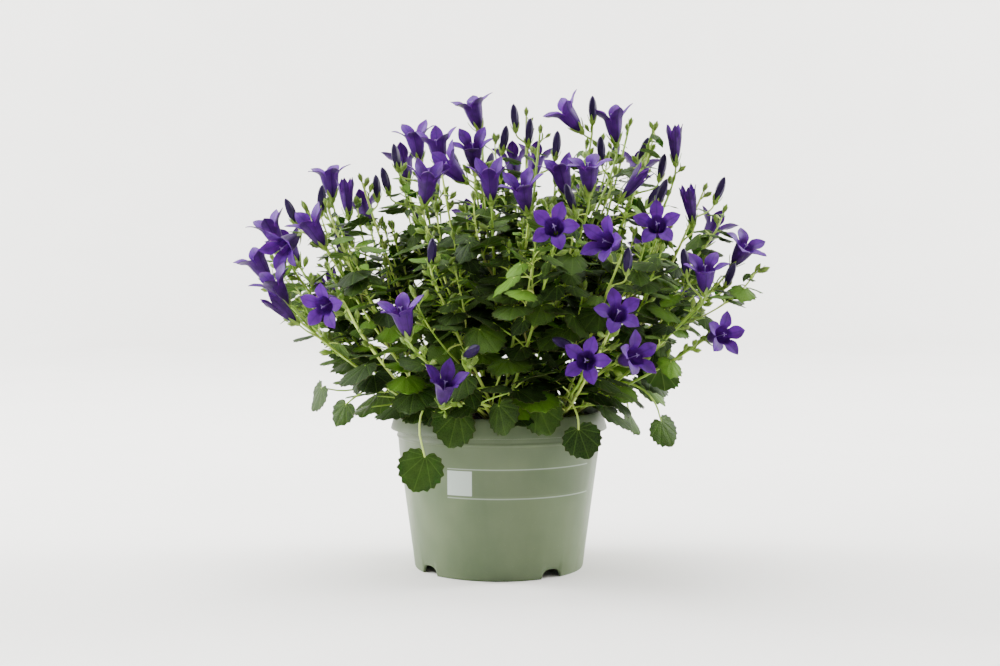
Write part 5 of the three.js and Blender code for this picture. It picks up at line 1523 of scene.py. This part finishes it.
def material(name, shown, recipe):
    """A material from its recipe: a ground colour, coats over it, relief and shader values.

    A coat is where it lies, how strong it is and its colour. A relief is a height, its depth
    in millimetres and its strength, with the broadest first.
    """
    made = bpy.data.materials.new(name)
    made.diffuse_color = linear(shown)
    made.use_nodes = True
    tree = made.node_tree
    tree.nodes.clear()
    add = functools.partial(node, tree)
    place = add("TexCoord", output="Object")
    mm = add("VectorMath", {0: place, "Scale": 1 / MM}, operation="SCALE")
    ground, coats, reliefs, values = recipe(add, mm)
    colour, normal = linear(ground), None
    for mask, share, shade in coats:
        strength = add("Math", (mask, share), operation="MULTIPLY")
        colour = add("Mix", {0: strength, 6: colour, 7: linear(shade)}, 2, data_type="RGBA")
    for height, depth, strength in reliefs:
        normal = add("Bump", {
            "Height": height, "Distance": depth * MM, "Strength": strength, "Normal": normal,
        })
    shader = add("BsdfPrincipled", {"Base Color": colour, "Normal": normal, **values})
    add("OutputMaterial", {"Surface": shader}, None)
    return made


def moulded_polypropylene(colour, shade):
    """Injection-moulded polypropylene, dyed in the mass, with plain pale lines printed on it.

    The moulding leaves a fine grain and faint flow streaks, and handling leaves dull rubs: the
    eye sees a satin wall, never quite even.
    """
    def recipe(add, mm):
        def between(value, low, high, soft=0.15):
            """1 where a value lies between two edges."""
            above = add("MapRange", (value, low - soft, low + soft), **SMOOTH)
            below = add("MapRange", (value, high + soft, high - soft), **SMOOTH)
            return add("Math", (above, below), operation="MULTIPLY")

        x, y, z = add("SeparateXYZ", (mm,), None)
        drawn = add("VectorMath", (mm, (1, 1, 0.08)), operation="MULTIPLY")
        squat = add("VectorMath", (mm, (1, 1, 0.45)), operation="MULTIPLY")
        clouds = add("TexNoise", {"Vector": mm, "Scale": 1 / 38, "Detail": 2})
        streaks = add("TexNoise", {"Vector": drawn, "Scale": 1 / 5, "Detail": 2})
        specks = add("TexNoise", {"Vector": mm, "Scale": 1 / 0.9, "Detail": 4})
        rubs = add("TexNoise", {"Vector": squat, "Scale": 1 / 9, "Detail": 4})
        waves = add("TexNoise", {"Vector": squat, "Scale": 1 / 22, "Detail": 1})
        # The moulding's grain is finer; it is drawn 0.35 mm wide so that it shows.
        grain = add("TexNoise", {"Vector": mm, "Scale": 1 / 0.35, "Detail": 2})
        front = add("MapRange", (y, -20, -26), **SMOOTH)
        reach = add("Math", (between(x, *PRINT_SIDES), front), operation="MULTIPLY")
        lines = add("Math", [between(z, *line) for line in PRINT_LINES], operation="ADD")
        block = add("Math", (between(z, *PRINT_BLOCK), reach), operation="MULTIPLY")
        panel = [between(x, *PRINT_PANEL), between(z, *PRINT_BLOCK)]
        panel = add("Math", panel, operation="MULTIPLY")
        worn = add("MapRange", (specks, 0.12, 0.3), **SMOOTH)
        inked = add("Math", (reach, worn), operation="MULTIPLY")
        inked_lines, inked_panel = (
            add("Math", (part, inked), operation="MULTIPLY") for part in (lines, panel)
        )
        coats = (
            (add("MapRange", (clouds, 0.35, 0.65), **SMOOTH), 1, colour),
            (streaks, 0.22, "616d55"),
            (add("MapRange", (specks, 0.62, 0.8), **SMOOTH), 0.18, "7a856a"),
            # Painted shade: the top of the pot, from 56 mm up over the skirt and rim, is darkened.
            (add("MapRange", (z, 56, 70), **SMOOTH), 0.42, "424b37"),
            (block, 0.28, "424b37"),
            (inked_lines, 0.45, "9aa49a"),
            (inked_panel, 0.8, "a9b3ae"),
        )
        dull = add("MapRange", (rubs, 0.3, 0.7, 0.38, 0.52))
        return shade, coats, ((waves, 0.3, 0.4), (grain, 0.02, 0.5)), {
            "Roughness": dull, "IOR": 1.49, "Specular IOR Level": 0.22,
        }

    return material("moulded_polypropylene", colour, recipe)


def peat_and_bark(soil):
    """Damp milled peat with bark crumbs: near black and matt, rough down to its grains."""
    def recipe(add, mm):
        tone = add("Attribute", output="Fac", attribute_name="tone")
        clods = add("TexNoise", {"Vector": mm, "Scale": 1 / 3.5, "Detail": 4})
        grains = add("TexNoise", {"Vector": mm, "Scale": 1 / 0.5, "Detail": 4})
        crumbs = add("TexVoronoi", {"Vector": mm, "Scale": 1 / 1.25})
        coats = (
            (add("MapRange", (clods, 0.35, 0.65), **SMOOTH), 1, soil),
            (add("MapRange", (grains, 0.5, 0.75), **SMOOTH), 1, "4a3828"),
            (add("MapRange", (tone, 0.8, 0.95), **SMOOTH), 1, "5a3f2a"),
        )
        return "0f0b09", coats, ((crumbs, 0.5, 0.7), (grains, 0.35, 0.9)), {"Roughness": 0.95}

    return material("peat_and_bark", soil, recipe)


def plant_place(add):
    """A plant point's place in millimetres: whole, across, along and its depth; and its tone."""
    place = add("Attribute", output="Vector", attribute_name="place")
    tone = add("Attribute", output="Fac", attribute_name="tone")
    return place, *add("SeparateXYZ", (place,), None), tone


def stem_skin(stem):
    """Living stem skin, grown: smooth and waxy, with long fibres, corky brown near the soil."""
    def recipe(add, mm):
        place, _, along, _, tone = plant_place(add)
        patches = add("TexNoise", {"Vector": mm, "Scale": 1 / 7, "Detail": 3})
        drawn = add("VectorMath", (place, (1, 0.1, 1)), operation="MULTIPLY")
        fibres = add("TexNoise", {"Vector": drawn, "Scale": 1 / 0.5, "Detail": 2})
        coats = (
            (add("MapRange", (patches, 0.3, 0.7), **SMOOTH), 1, "6a8a2a"),
            (add("MapRange", (tone, 0.4, 1), **SMOOTH), 0.8, "bcd068"),
            (add("MapRange", (along, 26, 4), **SMOOTH), 0.8, "4c3d22"),
        )
        return stem, coats, ((fibres, 0.08, 0.6),), {
            "Roughness": 0.5, "Specular IOR Level": 0.2, "Subsurface Weight": 0.1, **LEAF_GLOW,
        }

    return material("stem_skin", stem, recipe)


def leaf_veins(add, across, along):
    """1 on the veins that fan from the stalk, falling to 0 beside them, narrowly and widely."""
    flat = add("Math", (across,), operation="ABSOLUTE")
    forward = add("Math", (along, 0.8), operation="ADD")
    turn = add("Math", (flat, forward), operation="ARCTAN2")
    squares = [add("Math", (part, part), operation="MULTIPLY") for part in (flat, forward)]
    reach = add("Math", (add("Math", squares, operation="ADD"),), operation="SQRT")
    # A vein stands every 0.52 radians round the stalk.
    fan = add("Math", (turn, 0.26), operation="PINGPONG")
    off = add("Math", (fan, reach), operation="MULTIPLY")
    return add("MapRange", (off, 0.42, 0.05), **SMOOTH), add("MapRange", (off, 1.6, 0.2), **SMOOTH)


def leaf_top(leaf, old, young):
    """The upper skin of a living leaf: waxed and slightly glossy, quilted between sunken veins."""
    def recipe(add, mm):
        place, across, along, edge, tone = plant_place(add)
        veins, valleys = leaf_veins(add, across, along)
        patches = add("TexNoise", {"Vector": mm, "Scale": 1 / 6, "Detail": 3})
        net = add("TexVoronoi", {"Vector": place, "Scale": 1 / 1.33}, feature="DISTANCE_TO_EDGE")
        seams = add("MapRange", (net, 0.22, 0), **SMOOTH)
        mixed = add("Math", (tone, 0.75), operation="MULTIPLY")
        mixed = add("Math", (patches, 0.4, mixed), operation="MULTIPLY_ADD")
        coats = (
            (add("MapRange", (mixed, 0.25, 0.95), **SMOOTH), 1, leaf),
            (add("MapRange", (tone, 0.7, 0.95), **SMOOTH), 0.65, young),
            (add("MapRange", (edge, 0.5, 1), **SMOOTH), 0.45, "1d2c15"),
            (veins, 0.3, "4f6a2a"),
            (seams, 0.12, "466226"),
            (add("MapRange", (edge, 0.93, 1), **SMOOTH), 0.4, "3c2c1a"),
        )
        return old, coats, ((valleys, -0.25, 0.5), (seams, -0.12, 0.5)), {
            "Roughness": add("MapRange", (patches, 0, 1, 0.46, 0.62)), "IOR": 1.3,
            "Specular IOR Level": 0.15, "Subsurface Weight": 0.08, **LEAF_GLOW,
        }

    return material("leaf_top", leaf, recipe)


def leaf_underside():
    """The lower skin of a living leaf: matt, without wax, its veins standing out."""
    def recipe(add, mm):
        _, across, along, _, tone = plant_place(add)
        veins, ridges = leaf_veins(add, across, along)
        patches = add("TexNoise", {"Vector": mm, "Scale": 1 / 5, "Detail": 3})
        coats = ((patches, 1, "354c20"), (tone, 0.4, "4c6820"), (veins, 0.5, "5c7438"))
        return "263812", coats, ((ridges, 0.3, 0.6),), {
            "Roughness": 0.65, "IOR": 1.3, "Specular IOR Level": 0.12, "Subsurface Weight": 0.1,
            **LEAF_GLOW,
        }

    return material("leaf_underside", "6c8c45", recipe)


def sepal_skin(bud):
    """Bud and cup skin, grown: a soft bloom of wax over green, darker at the sepals' points."""
    def recipe(add, mm):
        _, _, _, depth, tone = plant_place(add)
        patches = add("TexNoise", {"Vector": mm, "Scale": 1 / 1.8, "Detail": 3})
        bloom = add("TexNoise", {"Vector": mm, "Scale": 1 / 0.3, "Detail": 2})
        points = add("MapRange", (depth, 0.7, 1), **SMOOTH)
        aged = add("MapRange", (tone, 0.3, 0.8), **SMOOTH)
        dark = add("Math", (points, aged), operation="MULTIPLY")
        coats = ((patches, 1, bud), (tone, 0.4, "869e40"), (dark, 0.55, "3c3a34"))
        return "3f571e", coats, ((bloom, 0.06, 0.6),), {
            "Roughness": 0.55, "Specular IOR Level": 0.2, "Subsurface Weight": 0.1, **LEAF_GLOW,
        }

    return material("sepal_skin", bud, recipe)


def furled_petal(dark):
    """Petals still furled in the bud: packed tight, almost black violet, satin on the pleats."""
    def recipe(add, mm):
        place, _, along, _, _ = plant_place(add)
        patches = add("TexNoise", {"Vector": mm, "Scale": 1 / 2.5, "Detail": 3})
        drawn = add("VectorMath", (place, (1, 0.1, 1)), operation="MULTIPLY")
        pleats = add("TexNoise", {"Vector": drawn, "Scale": 1 / 0.5, "Detail": 2})
        coats = (
            (patches, 1, "22103a"),
            (add("MapRange", (along, 5.5, 2.5), **SMOOTH), 1, "2a2034"),
        )
        return dark, coats, ((pleats, 0.1, 0.6),), {"Roughness": 0.45, "Specular IOR Level": 0.12}

    return material("furled_petal", dark, recipe)


def petal_tissue(add, mm):
    """What both skins of a petal show: soft patches, long veins and the keel; and its tone."""
    place, across, along, _, tone = plant_place(add)
    patches = add("TexNoise", {"Vector": mm, "Scale": 1 / 4, "Detail": 3})
    drawn = add("VectorMath", (place, (1, 0.07, 0)), operation="MULTIPLY")
    veins = add("TexNoise", {"Vector": drawn, "Scale": 1 / 0.42, "Detail": 1})
    reliefs = ((patches, 0.2, 0.4), (veins, 0.12, 0.7))
    patched = add("MapRange", (patches, 0.3, 0.7), **SMOOTH)
    veined = add("MapRange", (veins, 0.5, 0.7), **SMOOTH)
    return patched, veined, add("Math", (across,), operation="ABSOLUTE"), along, tone, reliefs


def petal_outside(petal, light):
    """The outer skin of open petals: thin satin tissue with a dark keel and faint long veins,
    painted a darker violet than the inner skin as painted shade.
    """
    def recipe(add, mm):
        patched, veined, off_keel, along, tone, reliefs = petal_tissue(add, mm)
        # Painted shade: the patches turn the outer skin a darker violet than the inner one.
        coats = (
            (patched, 1, "220836"),
            (tone, 0.35, light),
            (add("MapRange", (along, 7, 0), **SMOOTH), 0.6, "1c0b30"),
            (add("MapRange", (off_keel, 0.5, 0.1), **SMOOTH), 0.55, "190830"),
            (veined, 0.3, "22093e"),
        )
        return petal, coats, reliefs, {"Roughness": 0.5, **PETAL_GLOW}

    return material("petal_outside", petal, recipe)


def petal_inside(petal, light):
    """The inner skin of open petals: velvety, bright on the lobes, deeper down the throat; painted
    a lighter violet than the outer skin as painted light.
    """
    def recipe(add, mm):
        patched, veined, off_keel, along, tone, reliefs = petal_tissue(add, mm)
        coats = (
            # Painted light: the patches turn the inner skin a lighter violet than the outer one.
            (patched, 1, light),
            (tone, 0.3, "541188"),
            (add("MapRange", (off_keel, 0.45, 0.08), **SMOOTH), 0.45, "250a48"),
            (veined, 0.35, "2c0b56"),
            (add("MapRange", (along, 12, 2), **SMOOTH), 0.3, "421a66"),
        )
        return petal, coats, reliefs, {"Roughness": 0.55, **PETAL_GLOW}

    return material("petal_inside", petal, recipe)


def style_skin():
    """The style and its arms: pale lilac skin, downy with pollen."""
    def recipe(add, mm):
        grains = add("TexNoise", {"Vector": mm, "Scale": 1 / 0.25, "Detail": 3})
        return "5b3f80", ((grains, 1, "8068a2"),), ((grains, 0.1, 0.8),), {"Roughness": 0.7}

    return material("style_skin", "cbbfe0", recipe)


def studio_paper():
    """Matt uncoated studio paper, pressed and rolled: white, with the slightest unevenness."""
    def recipe(add, mm):
        clouds = add("TexNoise", {"Vector": mm, "Scale": 1 / 180, "Detail": 2})
        fibres = add("TexNoise", {"Vector": mm, "Scale": 1 / 0.6, "Detail": 3})
        return "d8d7d4", ((clouds, 1, "dfdedb"),), ((fibres, 0.03, 0.3),), {"Roughness": 0.9}

    return material("studio_paper", "f5f5f2", recipe)


# Plant pieces

@functools.cache
def grown(leaf_rounds):
    return Plant(leaf_rounds)


@functools.cache
def surfaces(leaf_rounds):
    """Each clump's stems, leaves and buds as surfaces, in the clumps' order."""
    made = []
    for clump in grown(leaf_rounds).clumps:
        stems, leaves, buds = Surface(), Surface(), Surface()
        draw = Draws(CLUMP_SEED + len(made))
        grow_crown(stems, clump, draw)
        for shoot in clump.shoots:
            grow_shoot(shoot, stems, leaves, buds, draw)
        made.append((clump, stems, leaves, buds))
    return made


@functools.cache
def plant_looks(stem, leaf, old, young, bud, petal, light, dark):
    """The plant's materials in the order of their numbers."""
    return (
        stem_skin(stem), leaf_top(leaf, old, young), leaf_underside(), sepal_skin(bud),
        furled_petal(dark), petal_outside(petal, light), petal_inside(petal, light), style_skin(),
    )


def chosen_looks(settings):
    """The plant's materials in the colours that are set now."""
    return plant_looks(
        settings.stem, settings.leaf, settings.leaf_dark, settings.leaf_young, settings.bud,
        settings.petal, settings.petal_light, settings.petal_dark,
    )


def build_part(which, word):
    """One kind of piece for every clump: 1 stems, 2 leaves, 3 buds."""
    settings = bpy.context.scene.bellflower_plant
    for entry in surfaces(settings.leaf_rounds):
        clump = entry[0]
        name = f"{clump.kind}_{word}_{clump.number}"
        entry[which].piece(name, chosen_looks(settings), [clump.node], "shoots")


def build_blooms(settings):
    """The open corollas, each with its style."""
    number = 0
    for shoot in grown(settings.leaf_rounds).shoots:
        for flower in (shoot.last, *shoot.flowers):
            if flower is None or not flower.wide:
                continue
            number += 1
            surface, draw, looks = Surface(), Draws(BLOOM_SEED + number), chosen_looks(settings)
            grow_corolla(surface, flower, corolla_sizes(flower.opening), draw)
            grow_style(surface, flower.base, flower.axis, 13 + 2 * draw(), draw())
            surface.piece(f"corolla_{number:02d}", looks, [f"bloom_{number:02d}"], "petals")


# Stage

# Metres: the paper's flat radius and the bend round it, how high it stands, the point that the
# softboxes are aimed at, and where the camera stands beside the axis and above the floor
PAPER_FLOOR = (2.4, 1.0)
PAPER_HEIGHT = 3.6
LIGHT_AIM = (0, 0, 0.13)
EYE_SIDE = 0.0006
EYE_HEIGHT = 0.1635


def build_stage(settings):
    """A bowl of white paper, soft lights and the camera at the photograph's viewing angle."""
    sides, floor, bend, bends = 96, *PAPER_FLOOR, 12
    rows = [(reach, 0.0) for reach in (0.3, 0.8, 1.5, floor)]
    for k in range(1, bends + 1):
        a = math.pi / 2 * k / bends
        rows.append((floor + bend * math.sin(a), bend * (1 - math.cos(a))))
    rows.append((floor + bend, PAPER_HEIGHT))
    turns = turns_round(sides)
    points = [(0, 0, 0)] + [(r * math.cos(a), r * math.sin(a), z) for r, z in rows for a in turns]
    faces = [(0, 1 + k, 1 + (k + 1) % sides) for k in range(sides)]
    for low in range(1, 1 + (len(rows) - 1) * sides, sides):
        high = low + sides
        for k in range(sides):
            n = (k + 1) % sides
            faces.append((low + k, high + k, high + n, low + n))
    mesh = bpy.data.meshes.new("paper_bowl")
    mesh.from_pydata(points, [], faces)
    mesh.shade_smooth()
    mesh.materials.append(studio_paper())
    things = [bpy.data.objects.new("paper_bowl", mesh)]
    key, backdrop = settings.key_power, settings.backdrop_power
    for name, place, aim, size, power in (
        ("top_softbox", (-0.15, 0.3, 1.5), LIGHT_AIM, 1.4, key),
        ("left_softbox", (-1.3, -0.15, 0.6), LIGHT_AIM, 1.0, key * 0.6),
        ("right_softbox", (1.4, 0.1, 0.6), LIGHT_AIM, 1.0, key * 0.25),
        ("left_backdrop_light", (-2.6, 0.9, 1.6), (-0.4, 3.2, 0.9), 1.5, backdrop),
        ("right_backdrop_light", (2.6, 0.9, 1.6), (0.4, 3.2, 0.9), 1.5, backdrop),
    ):
        light = bpy.data.lights.new(name, "AREA")
        light.energy, light.size = power, size
        lamp = bpy.data.objects.new(name, light)
        lamp.location = place
        way = Vector(aim) - Vector(place)
        lamp.rotation_euler = way.to_track_quat("-Z", "Y").to_euler()
        things.append(lamp)
    camera = bpy.data.cameras.new("camera")
    camera.lens, camera.sensor_width = settings.lens, 36
    eye = bpy.data.objects.new("camera", camera)
    eye.location = (EYE_SIDE, -settings.distance, EYE_HEIGHT)
    eye.rotation_euler = (math.radians(90 - settings.pitch), 0, 0)
    things.append(eye)
    for thing in things:
        bpy.context.scene.collection.objects.link(thing)
    bpy.context.scene.camera = eye
    world = bpy.data.worlds.new("white_room")
    world.use_nodes = True
    sky = next(n for n in world.node_tree.nodes if n.type == "BACKGROUND")
    sky.inputs["Color"].default_value = (1, 1, 1, 1)
    sky.inputs["Strength"].default_value = settings.room_light
    bpy.context.scene.world = world


# Settings

def hex_colour(name, description, default):
    return bpy.props.StringProperty(name=name, description=description, default=default, maxlen=6)


class BellflowerPotSettings(bpy.types.PropertyGroup):
    """What can be chosen for the pot and its soil."""

    segments: bpy.props.IntProperty(
        name="Segments", description="Facets round the pot", default=360, min=60, max=960,
    )
    crumbs: bpy.props.IntProperty(
        name="Crumbs", description="Loose crumbs and bark chips on the soil",
        default=320, min=0, max=1500,
    )
    colour: hex_colour("Pot", "Sage green of the pot", "546046")
    colour_dark: hex_colour("Pot shade", "Darker green of the pot's shaded clouds", "49563d")
    soil: hex_colour("Soil", "Brown of the damp peat", "1c140f")


class BellflowerPlantSettings(bpy.types.PropertyGroup):
    """What can be chosen for the plant."""

    leaf_rounds: bpy.props.IntProperty(
        name="Leaf rounds", description="Rounds of finer leaves grown between the large ones",
        default=4, min=0, max=4,
    )
    stem: hex_colour("Stem", "Yellow green of the stems", "8aa842")
    leaf: hex_colour("Leaf", "Green of a full-grown leaf", "374e1a")
    leaf_dark: hex_colour("Old leaf", "Dark green of an old leaf", "18260e")
    leaf_young: hex_colour("Young leaf", "Fresh green of a young leaf", "5a8222")
    bud: hex_colour("Bud", "Green of the small buds", "6a862e")
    petal: hex_colour("Petal", "Violet of the open flowers", "330b51")
    # The inner petal skin's patches take this lighter violet as painted light.
    petal_light: hex_colour("Petal light", "Lighter violet of the lobes", "460b77")
    petal_dark: hex_colour("Furled petal", "Near-black violet of furled buds", "150828")


class BellflowerStageSettings(bpy.types.PropertyGroup):
    """What can be chosen for the camera and the light."""

    distance: bpy.props.FloatProperty(
        name="Distance", description="From the pot's axis to the camera",
        default=0.8, min=0.3, max=5, subtype="DISTANCE", unit="LENGTH",
    )
    pitch: bpy.props.FloatProperty(
        name="Pitch", description="Degrees that the camera looks down", default=2.46, min=0, max=60,
    )
    lens: bpy.props.FloatProperty(
        name="Lens", description="Focal length in millimetres", default=51.98, min=20, max=200,
    )
    key_power: bpy.props.FloatProperty(
        name="Key light", description="Power of the key light in watts", default=60, min=0, max=500,
    )
    backdrop_power: bpy.props.FloatProperty(
        name="Backdrop light", description="Power of each backdrop light in watts",
        default=300, min=0, max=1000,
    )
    room_light: bpy.props.FloatProperty(
        name="Room light", description="Strength of the white room", default=0.06, min=0, max=5,
    )


# Operators and panel

class BELLFLOWER_OT_pot(bpy.types.Operator):
    """Mould the nursery pot"""

    bl_idname = "bellflower.pot"
    bl_label = "Add Pot"

    def execute(self, context):
        build_pot(context.scene.bellflower_pot)
        return {"FINISHED"}


class BELLFLOWER_OT_soil(bpy.types.Operator):
    """Fill the pot with soil"""

    bl_idname = "bellflower.soil"
    bl_label = "Add Soil"

    def execute(self, context):
        build_soil(context.scene.bellflower_pot)
        return {"FINISHED"}


class BELLFLOWER_OT_stems(bpy.types.Operator):
    """Grow the crowns, the stems and all the stalks"""

    bl_idname = "bellflower.stems"
    bl_label = "Add Stems"

    def execute(self, context):
        build_part(1, "stems")
        return {"FINISHED"}


class BELLFLOWER_OT_leaves(bpy.types.Operator):
    """Grow the toothed leaves"""

    bl_idname = "bellflower.leaves"
    bl_label = "Add Leaves"

    def execute(self, context):
        build_part(2, "leaves")
        return {"FINISHED"}


class BELLFLOWER_OT_buds(bpy.types.Operator):
    """Grow the buds and every flower's green cup"""

    bl_idname = "bellflower.buds"
    bl_label = "Add Buds"

    def execute(self, context):
        build_part(3, "buds")
        return {"FINISHED"}


class BELLFLOWER_OT_blooms(bpy.types.Operator):
    """Open the violet bells"""

    bl_idname = "bellflower.blooms"
    bl_label = "Add Blooms"

    def execute(self, context):
        build_blooms(context.scene.bellflower_plant)
        return {"FINISHED"}


class BELLFLOWER_OT_stage(bpy.types.Operator):
    """Set the paper bowl, the lights and the camera"""

    bl_idname = "bellflower.stage"
    bl_label = "Add Stage"

    def execute(self, context):
        build_stage(context.scene.bellflower_stage)
        return {"FINISHED"}


class BELLFLOWER_PT_panel(bpy.types.Panel):
    """The settings and a button for each step"""

    bl_label = "Bellflower"
    bl_space_type = "VIEW_3D"
    bl_region_type = "UI"
    bl_category = "Bellflower"

    def draw(self, context):
        for settings, steps in (
            (context.scene.bellflower_pot, ("pot", "soil")),
            (context.scene.bellflower_plant, ("stems", "leaves", "buds", "blooms")),
            (context.scene.bellflower_stage, ("stage",)),
        ):
            box = self.layout.box()
            for name in settings.__annotations__:
                box.prop(settings, name)
            for step in steps:
                box.operator(f"bellflower.{step}")


CLASSES = (
    BellflowerPotSettings, BellflowerPlantSettings, BellflowerStageSettings, BELLFLOWER_OT_pot,
    BELLFLOWER_OT_soil, BELLFLOWER_OT_stems, BELLFLOWER_OT_leaves, BELLFLOWER_OT_buds,
    BELLFLOWER_OT_blooms, BELLFLOWER_OT_stage, BELLFLOWER_PT_panel,
)


def register():
    for cls in CLASSES:
        bpy.utils.register_class(cls)
    bpy.types.Scene.bellflower_pot = bpy.props.PointerProperty(type=BellflowerPotSettings)
    bpy.types.Scene.bellflower_plant = bpy.props.PointerProperty(type=BellflowerPlantSettings)
    bpy.types.Scene.bellflower_stage = bpy.props.PointerProperty(type=BellflowerStageSettings)


def unregister():
    del bpy.types.Scene.bellflower_pot
    del bpy.types.Scene.bellflower_plant
    del bpy.types.Scene.bellflower_stage
    for cls in reversed(CLASSES):
        bpy.utils.unregister_class(cls)


def main():
    register()
    bpy.ops.bellflower.pot()
    bpy.ops.bellflower.soil()
    bpy.ops.bellflower.stems()
    bpy.ops.bellflower.leaves()
    bpy.ops.bellflower.buds()
    bpy.ops.bellflower.blooms()
    bpy.ops.bellflower.stage()
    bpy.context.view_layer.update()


if __name__ == "__main__":
    main()
